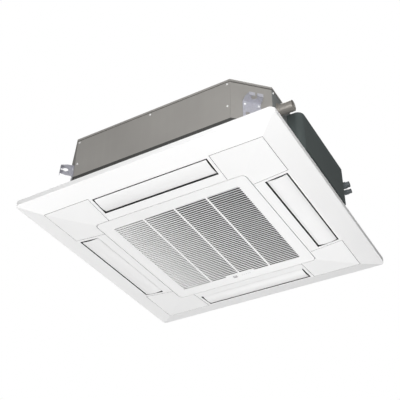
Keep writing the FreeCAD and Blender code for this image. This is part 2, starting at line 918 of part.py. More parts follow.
def make_casing():
    """Folded sheet-metal casing: top plate, four side plates, four corner plates."""
    metal = size.metal
    top = new_body("TopPlate")
    lid = sketch_on(top, "XY", plate_top)
    draw(lid, octagon(-metal))
    pad(top, lid, metal)
    rim = sketch_on(top, "XY", plate_top)
    draw(rim, octagon(-metal))
    draw(rim, octagon(Size.of(0)))
    pad(top, rim, size.top_rim - metal, back=True)
    node("top_plate", top)
    flat = casing_half - size.casing_cut
    edge = casing_half - metal
    flange = casing_half - size.plate_flange
    for turn, side in SIDES.items():
        body = new_body("SidePlate")
        fold = sketch_on(body, "YZ")
        draw(fold, (
            (-casing_half, casing_low), (-flange, casing_low), (-flange, pan_low), (-edge, pan_low),
            (-edge, plate_top - metal), (-flange, plate_top - metal), (-flange, plate_top),
            (-casing_half, plate_top),
        ))
        pad(body, fold, flat * 2, both=True)
        if side == "right":
            holes = sketch_on(body, "XZ", casing_half)
            clear = size.pipe_hole_clearance
            circle(holes, -size.outlet_pipe_place, size.outlet_pipe_height, size.outlet_pipe_radius + clear)
            circle(holes, size.gas_pipe_place, size.gas_pipe_height, size.gas_pipe_radius + clear)
            circle(holes, size.liquid_pipe_place, size.liquid_pipe_height, size.liquid_pipe_radius + clear)
            pocket(body, holes, size.overrun, both=True)
        node(f"side_plate_{side}", body, turn)
    half_chamfer = (size.casing_cut - metal * CORNER_INSET_SHARE) * DIAGONAL_SHARE
    wing = size.corner_flange * DIAGONAL_SHARE
    slant = metal * DIAGONAL_SHARE
    corner_inner = half_chamfer - metal * BEND_SHARE
    for turn, corner in CORNERS.items():
        body = new_body("CornerPlate")
        fold = sketch_on(body, "XY", pan_low)
        draw(fold, (
            (-half_chamfer - wing, wing - chamfer_out), (-half_chamfer, -chamfer_out),
            (half_chamfer, -chamfer_out), (half_chamfer + wing, wing - chamfer_out),
            (half_chamfer + wing - slant, wing - chamfer_out + slant), (corner_inner, metal - chamfer_out),
            (-corner_inner, metal - chamfer_out), (slant - half_chamfer - wing, wing - chamfer_out + slant),
        ))
        pad(body, fold, plate_top - metal - pan_low)
        node(f"corner_plate_{corner}", body, turn + 45)


def make_brackets():
    """Hanger brackets: a plate on the corner, bent out to a tab with a keyhole and a lip."""
    metal = size.bracket_metal
    level = size.hanger_height
    back = -chamfer_out
    tip = back - size.bracket_tab
    for turn, corner in CORNERS.items():
        body = new_body("HangerBracket")
        fold = sketch_on(body, "YZ")
        draw(fold, (
            (back, size.bracket_low), (back, level + metal / 2), (tip, level + metal / 2),
            (tip, level - size.bracket_lip), (tip + metal, level - size.bracket_lip),
            (tip + metal, level - metal / 2), (back - metal, level - metal / 2), (back - metal, size.bracket_low),
        ))
        pad(body, fold, size.bracket_width, both=True)
        side, tab = size.bracket_width / 2, size.bracket_tab_width / 2
        trim = sketch_on(body, "XY", level)
        for sign in (-1, 1):
            draw(trim, (
                (side * sign, back - size.bracket_tab / 2), (tab * sign, tip),
                (tab * sign, tip - size.overrun), ((side + size.overrun) * sign, tip - size.overrun),
                ((side + size.overrun) * sign, back - size.bracket_tab / 2),
            ))
        pocket(body, trim, size.overrun * 4, both=True)
        keyhole = sketch_on(body, "XY", level)
        circle(keyhole, 0, -size.hanger_pitch * DIAGONAL_SHARE, size.hanger_hole_radius)
        pocket(body, keyhole, metal * 2, both=True)
        slit = sketch_on(body, "XY", level)
        rectangle(slit, (-size.hanger_slit / 2, size.hanger_slit / 2),
                  (tip - size.overrun, -size.hanger_pitch * DIAGONAL_SHARE))
        pocket(body, slit, size.overrun * 4, both=True)
        window = sketch_on(body, "XZ", -back)
        centre = -size.bracket_window_shift
        rectangle(window, (centre - size.bracket_window_width / 2, centre + size.bracket_window_width / 2),
                  (size.bracket_low + size.bracket_window_rise,
                   size.bracket_low + size.bracket_window_rise + size.bracket_window_height))
        pocket(body, window, metal * 4, both=True)
        node(f"hanger_bracket_{corner}", body, turn + 45)


def make_screws():
    """Hexagon-head screws on the casing plates and the hanger brackets."""
    screws = []
    span = (-(casing_half + size.screw_height), -casing_half)
    row_top = casing_top - size.screw_top_row
    row_low = casing_top - size.screw_low_row
    out = casing_half - size.casing_cut - size.screw_edge
    spots = ((-out, row_top), (Size.of(0), row_top), (out, row_top), (-out, row_low), (out, row_low))
    face = -(chamfer_out + size.bracket_metal)
    bracket_span = (face - size.screw_height, face)
    level = size.hanger_height - size.bracket_screw_drop
    for turn in SIDES:
        heads = [hexagon("y", size.screw_radius, span, spot) for spot in spots if turn != 90 or spot[0].number]
        screws.append(quarter(group(*heads), turn))
        heads = [hexagon("y", size.screw_radius, bracket_span, (size.bracket_screw_shift * sign, level))
                 for sign in (-1, 1)]
        screws.append(quarter(group(*heads), turn + 45))
    node("casing_screws", group(*screws))


def make_band():
    """Dark foam band round the foot of the casing, cut away behind the control box."""
    body = new_body("Band")
    outline = sketch_on(body, "XY", casing_low)
    draw(outline, octagon(-size.band_thickness))
    draw(outline, octagon(Size.of(0)))
    pad(body, outline, size.band_height)
    relief = sketch_on(body, "XY", casing_low + size.band_height)
    rectangle(relief, (casing_half - size.overrun, casing_half + size.overrun),
              (-(size.box_near + size.box_gap), size.box_far + size.box_gap))
    pocket(body, relief, casing_low + size.band_height - size.box_low + size.box_gap)
    node("lower_band", body)


def make_pan():
    """Foam drain pan: fan hole, four ducts, gutter under the evaporator, sump for the pump."""
    body = new_body("DrainPan")
    outline = sketch_on(body, "XY", pan_low)
    draw(outline, octagon(liner_inset))
    circle(outline, 0, 0, size.pan_hole_radius)
    duct_half = outlet_half - size.pan_duct_margin
    for turn in SIDES:
        duct = (size.pan_duct_inner, size.pan_duct_inner + size.pan_duct_width)
        rectangle(outline, *on_side(turn, (-duct_half, duct_half), duct))
    pad(body, outline, size.pan_height)
    gutter = sketch_on(body, "XY", pan_top)
    square(gutter, coil_half + size.gutter_margin)
    rounded_square(gutter, coil_inner - size.gutter_margin,
                   size.coil_corner_radius - size.coil_depth - size.gutter_margin)
    pocket(body, gutter, size.gutter_depth)
    sump = sketch_on(body, "XY", pan_top)
    rectangle(sump, (size.sump_low_x, size.sump_high_x), (-size.sump_high_y, -size.sump_low_y))
    pocket(body, sump, size.sump_depth)
    holes = sketch_on(body, "XY", pan_low)
    for x in (-size.web_hole, size.web_hole):
        for y in (-size.web_hole, size.web_hole):
            circle(holes, x, y, size.panel_screw_radius + size.running_clearance)
    pocket(body, holes, size.pan_screw_depth * 2, both=True)
    node("drain_pan", body)


def make_liner():
    """Foam lining of the casing, open below, with a hole for the fan motor."""
    body = new_body("Liner")
    outline = sketch_on(body, "XY", pan_top)
    draw(outline, octagon(liner_inset))
    pad(body, outline, liner_top - pan_top)
    inside = sketch_on(body, "XY", pan_top)
    draw(inside, octagon(liner_inset + size.liner_thickness))
    pocket(body, inside, (liner_top - pan_top - size.liner_thickness) * 2, both=True)
    hole = sketch_on(body, "XY", liner_top)
    circle(hole, 0, 0, size.liner_motor_hole)
    pocket(body, hole, size.liner_thickness * 2)
    ports = sketch_on(body, "YZ", casing_half)
    clear = size.pipe_hole_clearance
    circle(ports, -size.outlet_pipe_place, size.outlet_pipe_height, size.outlet_pipe_radius + clear)
    circle(ports, size.gas_pipe_place, size.gas_pipe_height, size.gas_pipe_radius + clear)
    circle(ports, size.liquid_pipe_place, size.liquid_pipe_height, size.liquid_pipe_radius + clear)
    pocket(body, ports, (size.liner_thickness + size.overrun) * 2, both=True)
    node("casing_insulation", body)


def make_bell():
    """Bell mouth: square flange under the pan, and a flared throat that enters the fan's eye."""
    wall = size.bell_wall
    body = new_body("BellMouth")
    plate = sketch_on(body, "XY", pan_low - wall)
    square(plate, size.bell_flange_width / 2)
    circle(plate, 0, 0, size.bell_radius - wall)
    pad(body, plate, wall)
    low = pan_low - wall
    neck = low + size.bell_rise
    lip = neck + size.throat_length
    throat = size.throat_radius
    flare = sketch_on(body, "XZ")
    width = size.bell_radius - throat
    inside = [(throat + width * out, low + size.bell_rise * up) for out, up in QUARTER_SHARE]
    outside = [(x + wall * (1 - out), z + wall * (1 - up)) for (x, z), (out, up) in zip(inside, QUARTER_SHARE)]
    draw(flare, (*outside, (throat + wall, lip), (throat, lip), *reversed(inside)))
    revolve(body, flare)
    node("bell_mouth", body)


def make_fan():
    """Turbo fan: hub cup and disc, flared shroud, swept blades between them."""
    wall = size.fan_wall
    rim = size.fan_radius
    eye = size.throat_radius + size.bell_wall + size.eye_gap
    top = size.disc_height + wall
    body = new_body("FanWheel")
    hub = sketch_on(body, "XZ")
    bore = size.shaft_radius + size.running_clearance
    shoulder = size.hub_low + size.hub_shoulder
    draw(hub, (
        (bore, size.hub_low), (size.hub_nose_radius, size.hub_low), (size.hub_radius - wall * 3, shoulder),
        (size.hub_radius, size.disc_height), (rim, size.disc_height), (rim, top),
        (size.hub_radius - wall, top), (size.hub_radius - wall * 4, shoulder + wall),
        (size.hub_boss_radius, size.hub_low + wall * 2), (size.hub_boss_radius, size.hub_low + size.hub_boss_height),
        (bore, size.hub_low + size.hub_boss_height),
    ))
    revolve(body, hub)
    lip = size.eye_low + size.eye_lip
    crest = lip + size.shroud_rise
    shroud = sketch_on(body, "XZ")
    width = rim - eye - wall
    under = [(eye + wall + width * out, crest - size.shroud_rise * up) for up, out in QUARTER_SHARE]
    over = [(x - wall * (1 - out), z + wall * (1 - up)) for (x, z), (up, out) in zip(under, QUARTER_SHARE)]
    draw(shroud, ((eye, size.eye_low), (eye + wall, size.eye_low), *under, *reversed(over)))
    revolve(body, shroud)
    doc.recompute()
    blade = sketch_on(body, "XY", lip)
    sweep = math.radians(size.blade_sweep.number)
    inner = (size.blade_inner, Size.of(0))
    outer = (size.blade_outer * math.cos(sweep), -size.blade_outer * math.sin(sweep))
    draw(blade, (
        (inner[0], inner[1], size.blade_curve_radius), outer,
        (outer[0] + size.blade_thickness, outer[1], -size.blade_curve_radius),
        (inner[0] + size.blade_thickness, inner[1]),
    ))
    vane = pad(body, blade, size.disc_height + wall / 2 - lip)
    doc.recompute()
    vanes = body.newObject("PartDesign::PolarPattern", "Vanes")
    vanes.Originals = [vane]
    vanes.Axis = (blade, ["N_Axis"])
    vanes.Angle = 360
    bind(vanes, "Occurrences", size.blade_count)
    body.Tip = vanes
    doc.recompute()
    below = sketch_on(body, "XZ")
    past = rim + size.overrun
    draw(below, ((eye + wall, size.eye_low), (past, size.eye_low), (past, crest), *reversed(under)))
    revolve(body, below, "Groove")
    node("fan_wheel", body)


def make_fan_motor():
    """Motor can with four ears on rubber mounts under the top plate, and the shaft that turns."""
    low = size.motor_low
    top = low + size.motor_height
    radius = size.motor_radius
    edge = size.motor_edge
    bore = size.shaft_radius + size.running_clearance
    body = new_body("FanMotor")
    can = sketch_on(body, "XZ")
    draw(can, (
        (bore, low), (radius - edge, low), (radius, low + edge), (radius, top), (0, top),
        (0, low + size.shaft_depth), (bore, low + size.shaft_depth),
    ))
    revolve(body, can)
    ears = sketch_on(body, "XY", top)
    reach = size.motor_ear_radius + size.mount_radius
    half = size.motor_ear_width / 2
    draw(ears, (
        (-half, -reach), (half, -reach), (half, -half), (reach, -half), (reach, half), (half, half),
        (half, reach), (-half, reach), (-half, half), (-reach, half), (-reach, -half), (-half, -half),
    ))
    pad(body, ears, size.motor_ear_thickness, back=True)
    node("fan_motor", body)
    ear = size.motor_ear_radius
    spots = ((ear, 0), (0, ear), (-ear, 0), (0, -ear))
    node("motor_mounts", group(*(rod("z", size.mount_radius, (top, plate_top), spot) for spot in spots)))
    span = (low - size.shaft_drop, low + size.shaft_depth - size.screw_clearance)
    node("motor_shaft", group(rod("z", size.shaft_radius, span, (Size.of(0), Size.of(0)))))


def bend_ring(turn):
    """One section of the eight-sided tube of a return bend."""
    ring = doc.addObject("Part::RegularPolygon", "BendRing")
    ring.Polygon = 8
    bind(ring, "Circumradius", size.bend_tube_radius)
    ring.Placement = Placement(Vector(), Rotation(Vector(0, 0, 1), turn).multiply(AXIS_TURNS["y"]))
    reach = size.bend_pitch / 2
    place(ring, reach * math.cos(math.radians(turn)), reach * math.sin(math.radians(turn)), 0)
    return ring


def make_evaporator():
    """Finned coil bent round the fan, open at one corner, with end plates and return bends."""
    body = new_body("Fins")
    plan = sketch_on(body, "XY", coil_low)
    end = size.coil_end
    draw(plan, (
        (coil_half, end), (coil_half, -coil_half), (-coil_half, -coil_half), (-coil_half, coil_half),
        (end, coil_half), (end, coil_inner), (-coil_inner, coil_inner), (-coil_inner, -coil_inner),
        (coil_inner, -coil_inner), (coil_inner, end),
    ))
    solid = pad(body, plan, coil_top - coil_low)
    outer = ((coil_half, -coil_half), (-coil_half, -coil_half), (-coil_half, coil_half))
    inner = ((coil_inner, -coil_inner), (-coil_inner, -coil_inner), (-coil_inner, coil_inner))
    solid = round_upright(body, solid, size.coil_corner_radius, outer)
    round_upright(body, solid, size.coil_corner_radius - size.coil_depth, inner)
    node("evaporator_fins", body)
    across = (coil_inner - size.end_plate_margin, coil_half + size.end_plate_margin)
    along = (end, end + size.end_plate)
    upright = (coil_low, coil_top)
    node("evaporator_end_plates", group(block(across, along, upright), block(along, across, upright)))
    hairpin = doc.addObject("Part::Loft", "Hairpin")
    hairpin.Sections = [bend_ring(180 / BEND_STEPS * step) for step in range(BEND_STEPS + 1)]
    hairpin.Solid = True
    hairpin.Ruled = True
    bends = []
    face = end + size.end_plate
    for index in range(int(size.bend_count.number)):
        level = coil_low + size.bend_low + size.bend_pitch * 2 * index
        for x, y, turn in ((inner_row, face, 0), (face, inner_row, -90)):
            bend = group(hairpin)
            bend.Placement = Placement(Vector(), Rotation(Vector(0, 0, 1), turn).multiply(AXIS_TURNS["x"]))
            place(bend, x, y, level)
            bends.append(bend)
    node("evaporator_bends", group(*bends))


def pipe_run(start, corner, level, radius):
    """A tube that leaves the coil's end plate, turns towards the right side in chords and passes out, open."""
    body = new_body("Pipe")
    bend = size.pipe_bend_radius
    spine = sketch_on(body, "XY", level)
    turn = [(corner[0] + bend * up, corner[1] - bend * out) for out, up in QUARTER_SHARE]
    draw(spine, (start, *turn, (size.pipe_reach, corner[1])), closed=False)
    ring = sketch_on(body, "XZ", -start[1])
    circle(ring, start[0], level, radius)
    tube = body.newObject("PartDesign::AdditivePipe", "Tube")
    tube.Profile = ring
    tube.Spine = spine
    tube.Transition = "Right corner"
    bore = (corner[0] + bend, size.pipe_reach + size.overrun)
    return cut(body, rod("x", radius * size.pipe_bore_share, bore, (corner[1], level)))


def make_pipes():
    """Gas and liquid pipes with their flare nuts."""
    face = size.coil_end + size.end_plate
    runs = (
        ("gas", size.gas_pipe_radius, size.gas_pipe_place, size.gas_pipe_height, size.gas_nut_radius),
        ("liquid", size.liquid_pipe_radius, size.liquid_pipe_place, size.liquid_pipe_height,
         size.liquid_nut_radius),
    )
    for name, radius, out, level, nut_radius in runs:
        node(f"{name}_pipe", pipe_run((outer_row, face), (outer_row, out), level, radius))
        start = size.nut_reach - size.nut_length
        hex_end = start + size.nut_hex_length
        hexagonal = hexagon("x", nut_radius, (start, hex_end), (out, level))
        neck = rod("x", nut_radius * size.nut_neck_share, (hex_end, size.nut_reach), (out, level))
        bore = rod("x", radius + size.running_clearance, (start - size.overrun, size.pipe_reach), (out, level))
        node(f"{name}_flare_nut", cut(fuse(hexagonal, neck), bore))


def make_drain():
    """Drain pump with its float guide, float, hose and the outlet stub."""
    out = -size.outlet_pipe_place
    spot = (size.pump_place_x, out)
    cup_low = pan_top - size.sump_depth + size.pump_cup_clearance
    hose_radius = size.outlet_pipe_radius - size.outlet_pipe_wall - size.hose_clearance
    hose_bore = hose_radius - size.hose_wall
    nozzle_radius = hose_bore - size.hose_clearance
    level = size.outlet_pipe_height
    nozzle_end = spot[0] + size.pump_motor_radius + size.pump_nozzle_length
    rod_spot = (size.float_place_x, -size.float_place_y)
    guide_low = size.guide_height
    float_low = cup_low + size.float_rise
    stop = (float_low - size.float_stop_height - size.float_gap, float_low - size.float_gap)
    half = size.guide_width / 2
    pieces = (
        rod("z", size.pump_cup_radius, (cup_low, cup_low + size.pump_cup_height), spot),
        rod("z", size.pump_column_radius, (cup_low, size.pump_motor_low), spot),
        rod("z", size.pump_motor_radius, (size.pump_motor_low, size.pump_top), spot),
        rod("x", nozzle_radius, (spot[0], nozzle_end), (spot[1], level)),
        block((rod_spot[0] - half, spot[0]), (rod_spot[1] - half, rod_spot[1] + half),
              (guide_low, guide_low + size.guide_thickness)),
        block((spot[0] - half, spot[0] + half), (rod_spot[1] - half, spot[1]),
              (guide_low, guide_low + size.guide_thickness)),
        rod("z", size.float_rod_radius, (stop[0], guide_low), rod_spot),
        rod("z", size.float_stop_radius, stop, rod_spot),
    )
    node("drain_pump", fuse(*pieces))
    float_span = (float_low, float_low + size.float_height)
    ring = rod("z", size.float_radius, float_span, rod_spot)
    hole = rod("z", size.float_rod_radius + size.float_gap, float_span, rod_spot)
    node("float", cut(ring, hole))
    inner_end = casing_half - size.outlet_pipe_depth
    stub = rod("x", size.outlet_pipe_radius, (inner_end, size.outlet_pipe_reach), (out, level))
    flange_span = (casing_half, casing_half + size.outlet_flange_thickness)
    flange = rod("x", size.outlet_flange_radius, flange_span, (out, level))
    bore = rod("x", size.outlet_pipe_radius - size.outlet_pipe_wall,
               (inner_end - size.overrun, size.outlet_pipe_reach + size.overrun), (out, level))
    node("drain_outlet", cut(fuse(stub, flange), bore))
    hose_span = (nozzle_end - size.hose_grip, inner_end + size.hose_grip)
    hose = cut(rod("x", hose_radius, hose_span, (out, level)), rod("x", hose_bore, hose_span, (out, level)))
    node("drain_hose", hose)


def make_control_box():
    """Control box on the right side: tray, rounded cover, board and terminal block."""
    wall = size.box_wall
    low, high = size.box_low, size.box_low + size.box_height
    outer = casing_half + size.box_depth
    near, far = -size.box_near, size.box_far
    cover = new_body("BoxCover")
    outline = sketch_on(cover, "XY", low)
    rectangle(outline, (casing_half, outer), (near, far))
    solid = pad(cover, outline, size.box_height)
    solid = round_upright(cover, solid, size.box_near_radius, ((outer, near),))
    solid = round_upright(cover, solid, size.box_far_radius, ((outer, far),))
    hollow = sketch_on(cover, "XY", low + wall)
    inner_near = size.box_near_radius - wall
    inner_far = size.box_far_radius - wall
    face = outer - wall
    draw(hollow, (
        (casing_half - size.overrun, near + wall), (face - inner_near, near + wall, inner_near),
        (face, near + wall + inner_near), (face, far - wall - inner_far, inner_far),
        (face - inner_far, far - wall), (casing_half - size.overrun, far - wall),
    ))
    inside = pocket(cover, hollow, size.box_height - wall * 2)
    inside.Reversed = True
    node("control_box_cover", cover)
    gap = wall + size.box_gap
    tray = new_body("BoxTray")
    plate = sketch_on(tray, "YZ", casing_half)
    rectangle(plate, (near + gap, far - gap), (low + gap, high - gap))
    pad(tray, plate, wall)
    walls = sketch_on(tray, "YZ", casing_half)
    rectangle(walls, (near + gap, far - gap), (low + gap, high - gap))
    rectangle(walls, (near + gap + wall, far - gap - wall), (low + gap + wall, high - gap - wall))
    pad(tray, walls, size.tray_depth - wall)
    posts = sketch_on(tray, "YZ", casing_half)
    middle_y = (near + far) / 2 - size.board_shift
    middle_z = low + size.box_height / 2
    half_length = size.board_length / 2
    half_height = size.board_height / 2
    inset = size.post_radius * 2
    for y in (middle_y - half_length + inset, middle_y + half_length - inset):
        for z in (middle_z - half_height + inset, middle_z + half_height - inset):
            circle(posts, y, z, size.post_radius)
    pad(tray, posts, wall + size.board_stand)
    node("control_box", tray)
    board_start = casing_half + wall + size.board_stand
    board_end = board_start + size.board_thickness
    top = board_end + size.part_height
    board = block((board_start, board_end), (middle_y - half_length, middle_y + half_length),
                  (middle_z - half_height, middle_z + half_height))
    part = size.part_height
    pieces = [board]
    for column in (-2, -1, 1, 2):
        y = middle_y + half_length * column / 3
        pieces.append(block((board_end, top), (y - part, y + part), (middle_z, middle_z + part * 2)))
        pieces.append(rod("x", part / 2, (board_end, top), (y, middle_z - part * 2)))
    node("control_board", fuse(*pieces))
    block_far = far - size.terminal_margin
    block_near = block_far - size.terminal_length
    root = casing_half + wall
    base = block((root, root + size.terminal_depth / 2), (block_near, block_far),
                 (middle_z, middle_z + size.terminal_height))
    barriers = []
    pitch = (size.terminal_length - size.terminal_barrier) / size.terminal_poles
    for index in range(int(size.terminal_poles.number) + 1):
        y = block_near + pitch * index
        barriers.append(block((root, root + size.terminal_depth), (y, y + size.terminal_barrier),
                              (middle_z, middle_z + size.terminal_height)))
    node("terminal_block", fuse(base, *barriers))


make_panel()
for turn, side in SIDES.items():
    make_louvre(turn, side)
    make_swing_motor(turn, side)
make_grille()
make_display()
make_filter()
make_catches()
make_seal()
make_panel_screws()
make_casing()
make_brackets()
make_screws()
make_band()
make_pan()
make_liner()
make_bell()
make_fan()
make_fan_motor()
make_evaporator()
make_pipes()
make_drain()
make_control_box()
doc.recompute()

failed = [item.Name for item in doc.Objects if {"Invalid", "Error"} & set(item.State)]
failed += [item.Label for item in nodes if item.Shape.isNull() or not item.Shape.isValid()]
if failed:
    raise RuntimeError(f"not built: {failed}")
os.makedirs("parts", exist_ok=True)
for item in nodes:
    item.Shape.exportStep(f"parts/{item.Label}.step")
print(len(nodes), "sub-parts written")
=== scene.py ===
"""Looks of the ceiling cassette air conditioner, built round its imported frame."""

import json
import logging
import math
from collections.abc import Callable, Iterable, Sequence
from dataclasses import dataclass, field
from enum import Enum
from typing import ClassVar, Union

import bpy
from mathutils import Matrix, Vector

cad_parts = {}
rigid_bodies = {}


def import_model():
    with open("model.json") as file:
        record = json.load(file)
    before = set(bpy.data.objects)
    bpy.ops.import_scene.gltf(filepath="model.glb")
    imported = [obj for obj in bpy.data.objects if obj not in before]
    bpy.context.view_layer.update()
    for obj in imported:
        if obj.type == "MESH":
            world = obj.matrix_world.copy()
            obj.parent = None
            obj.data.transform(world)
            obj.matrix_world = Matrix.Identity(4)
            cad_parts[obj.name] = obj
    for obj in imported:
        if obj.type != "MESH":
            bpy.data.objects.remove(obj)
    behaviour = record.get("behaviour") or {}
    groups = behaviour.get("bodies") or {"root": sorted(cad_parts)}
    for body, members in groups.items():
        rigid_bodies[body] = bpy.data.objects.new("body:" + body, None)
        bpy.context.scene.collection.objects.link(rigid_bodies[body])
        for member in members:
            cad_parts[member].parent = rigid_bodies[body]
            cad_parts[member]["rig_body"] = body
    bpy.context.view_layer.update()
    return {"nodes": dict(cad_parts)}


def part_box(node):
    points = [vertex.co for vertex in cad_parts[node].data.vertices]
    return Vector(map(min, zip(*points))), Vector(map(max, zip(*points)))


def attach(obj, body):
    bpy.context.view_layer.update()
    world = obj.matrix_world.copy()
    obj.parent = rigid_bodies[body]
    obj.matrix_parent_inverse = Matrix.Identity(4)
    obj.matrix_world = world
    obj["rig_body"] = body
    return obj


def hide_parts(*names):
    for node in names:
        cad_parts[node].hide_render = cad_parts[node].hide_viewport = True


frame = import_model()
LOG = logging.getLogger("cassette")
MM = 0.001
MERGE_DISTANCE = 0.005 * MM
FLAT_ANGLE = math.radians(1)
SMOOTH_ANGLE = math.radians(35)
SHARP_ANGLE = math.radians(40)
RIGHT_ANGLE = 90
QUARTER_TURNS = (0, 90, 180, 270)
ALIGNED = 0.99
ROUNDING_STEPS = 2

Span = tuple[float, float]
Colour = tuple[float, float, float]
Lengths = tuple[float, float, float]
Value = Union["Wire", float]


class Pattern(Enum):
    """Kinds of surface pattern that a graph can draw."""

    CLOUD = "ShaderNodeTexNoise"
    CELLS = "ShaderNodeTexVoronoi"


class Wire:
    """A shader value; sums on it add Math nodes."""

    def __init__(self, graph: "NodeSheet", socket: bpy.types.NodeSocket) -> None:
        """Keeps a socket and the nodes it belongs to.

        Args:
            graph: what new nodes go into.
            socket: the output that carries the value.
        """
        self.graph = graph
        self.socket = socket

    def _sum(self, operation: str, other: Value, swapped: bool = False) -> "Wire":
        """Adds one Math node.

        Args:
            operation: the Math node's operation.
            other: the second value.
            swapped: whether the other value comes first.

        Returns:
            The result of the operation.
        """
        pair = (other, self) if swapped else (self, other)
        return self.graph.node("ShaderNodeMath", {"operation": operation}, dict(enumerate(pair)))

    def __add__(self, other: Value) -> "Wire":
        """Adds a value."""
        return self._sum("ADD", other)

    def __sub__(self, other: Value) -> "Wire":
        """Takes a value away."""
        return self._sum("SUBTRACT", other)

    def __rsub__(self, other: Value) -> "Wire":
        """Takes this away from a value."""
        return self._sum("SUBTRACT", other, swapped=True)

    def __mul__(self, other: Value) -> "Wire":
        """Multiplies by a value."""
        return self._sum("MULTIPLY", other)

    def __gt__(self, other: Value) -> "Wire":
        """Gives one where this is the larger."""
        return self._sum("GREATER_THAN", other)

    def __abs__(self) -> "Wire":
        """Drops the sign."""
        return self._sum("ABSOLUTE", 0.0)

    def highest(self, other: Value) -> "Wire":
        """Gives the larger of two values."""
        return self._sum("MAXIMUM", other)

    def within(self, low: float, high: float) -> "Wire":
        """Gives one between two values."""
        return (self > low) * (high - self > 0.0)

    def wrapped(self, span: float) -> "Wire":
        """Gives this value's place within a repeating span, from 0 to 1."""
        return self._sum("MULTIPLY", 1 / span)._sum("FRACT", 0.0)

    __radd__ = __add__
    __rmul__ = __mul__


class NodeSheet:
    """The nodes of a material or of the world."""

    def __init__(self, tree: bpy.types.NodeTree) -> None:
        """Keeps the tree that new nodes go into."""
        self.tree = tree

    def feed(self, target: bpy.types.NodeSocket, value: object) -> None:
        """Links a wire to a socket, or sets the socket's own number, colour or vector.

        Args:
            target: the input to feed.
            value: a wire, or a plain value.
        """
        if isinstance(value, Wire):
            self.tree.links.new(value.socket, target)
        elif isinstance(value, tuple) and target.type == "RGBA":
            target.default_value = (*value[:3], 1.0)
        else:
            target.default_value = value

    def node(self, kind: str, settings: dict[str, object] | None = None,
             inputs: dict[object, object] | None = None, output: object = 0) -> Wire:
        """Adds one node.

        Args:
            kind: the node's type.
            settings: the node's own properties, set before its sockets.
            inputs: values or wires for its sockets, by name or number.
            output: the socket that the result is taken from.

        Returns:
            The chosen output.
        """
        made = self.tree.nodes.new(kind)
        for key, value in (settings or {}).items():
            setattr(made, key, value)
        for key, value in (inputs or {}).items():
            self.feed(made.inputs[key], value)
        return Wire(self, made.outputs[output])


class Graph(NodeSheet):
    """The nodes of one material."""

    def __init__(self, name: str) -> None:
        """Starts a material with one principled surface.

        Args:
            name: the material's name.
        """
        self.material = bpy.data.materials.new(name)
        self.material.use_nodes = True
        super().__init__(self.material.node_tree)
        self.surface = next(n for n in self.tree.nodes if n.type == "BSDF_PRINCIPLED")
        self.place = self.node("ShaderNodeTexCoord", output="Object")

    def pattern(self, kind: Pattern, scale: float, stretch: Lengths = (1, 1, 1), detail: float = 3) -> Wire:
        """Draws a cloud or cell pattern in the part's own frame.

        Args:
            kind: the pattern.
            scale: how many features there are in a metre.
            stretch: factors along X, Y and Z.
            detail: octaves of a cloud.

        Returns:
            A value from 0 to 1.
        """
        placed = self.node("ShaderNodeMapping", {}, {"Vector": self.place, "Scale": stretch})
        inputs: dict[object, object] = {"Vector": placed, "Scale": scale}
        if kind is Pattern.CLOUD:
            inputs["Detail"] = detail
        return self.node(kind.value, {}, inputs, "Fac" if kind is Pattern.CLOUD else "Distance")

    def axes(self) -> tuple[Wire, Wire, Wire]:
        """Splits the place into its coordinates.

        Returns:
            X, Y and Z, in metres.
        """
        split = self.node("ShaderNodeSeparateXYZ", {}, {0: self.place})
        outputs = split.socket.node.outputs
        return tuple(Wire(self, outputs[axis]) for axis in range(3))

    def ramp(self, value: Wire, low: float, high: float) -> Wire:
        """Stretches a value so that low becomes 0 and high becomes 1.

        Args:
            value: the value to stretch.
            low: what becomes 0.
            high: what becomes 1.

        Returns:
            The stretched value, kept between 0 and 1.
        """
        sockets = {"Value": value, "From Min": low, "From Max": high}
        return self.node("ShaderNodeMapRange", {"clamp": True}, sockets)

    def blend(self, factor: Value, first: object, second: object) -> Wire:
        """Mixes two colours.

        Args:
            factor: how much of the second colour shows.
            first: a colour or wire.
            second: a colour or wire.

        Returns:
            The mixed colour.
        """
        made = self.node("ShaderNodeMix", {"data_type": "RGBA"}, {0: factor}, 2)
        sockets = made.socket.node.inputs
        self.feed(sockets[6], first)
        self.feed(sockets[7], second)
        return made

    def relief(self, height: Wire, depth: float, strength: float = 1.0) -> Wire:
        """Raises a height pattern.

        Args:
            height: a value from 0 to 1.
            depth: the relief's depth in metres.
            strength: how strongly it shows.

        Returns:
            The normal to feed to a surface.
        """
        sockets = {"Height": height, "Distance": depth, "Strength": strength}
        return self.node("ShaderNodeBump", {}, sockets, "Normal")

    def finish(self, **inputs: object) -> None:
        """Feeds the principled surface.

        Args:
            **inputs: values or wires by socket name, with underscores for spaces.
        """
        for key, value in inputs.items():
            self.feed(self.surface.inputs[key.replace("_", " ")], value)


def tint(colour: Colour, share: float) -> Colour:
    """Scales a colour.

    Args:
        colour: the colour to scale.
        share: the factor.

    Returns:
        The scaled colour.
    """
    return tuple(min(1.0, channel * share) for channel in colour)


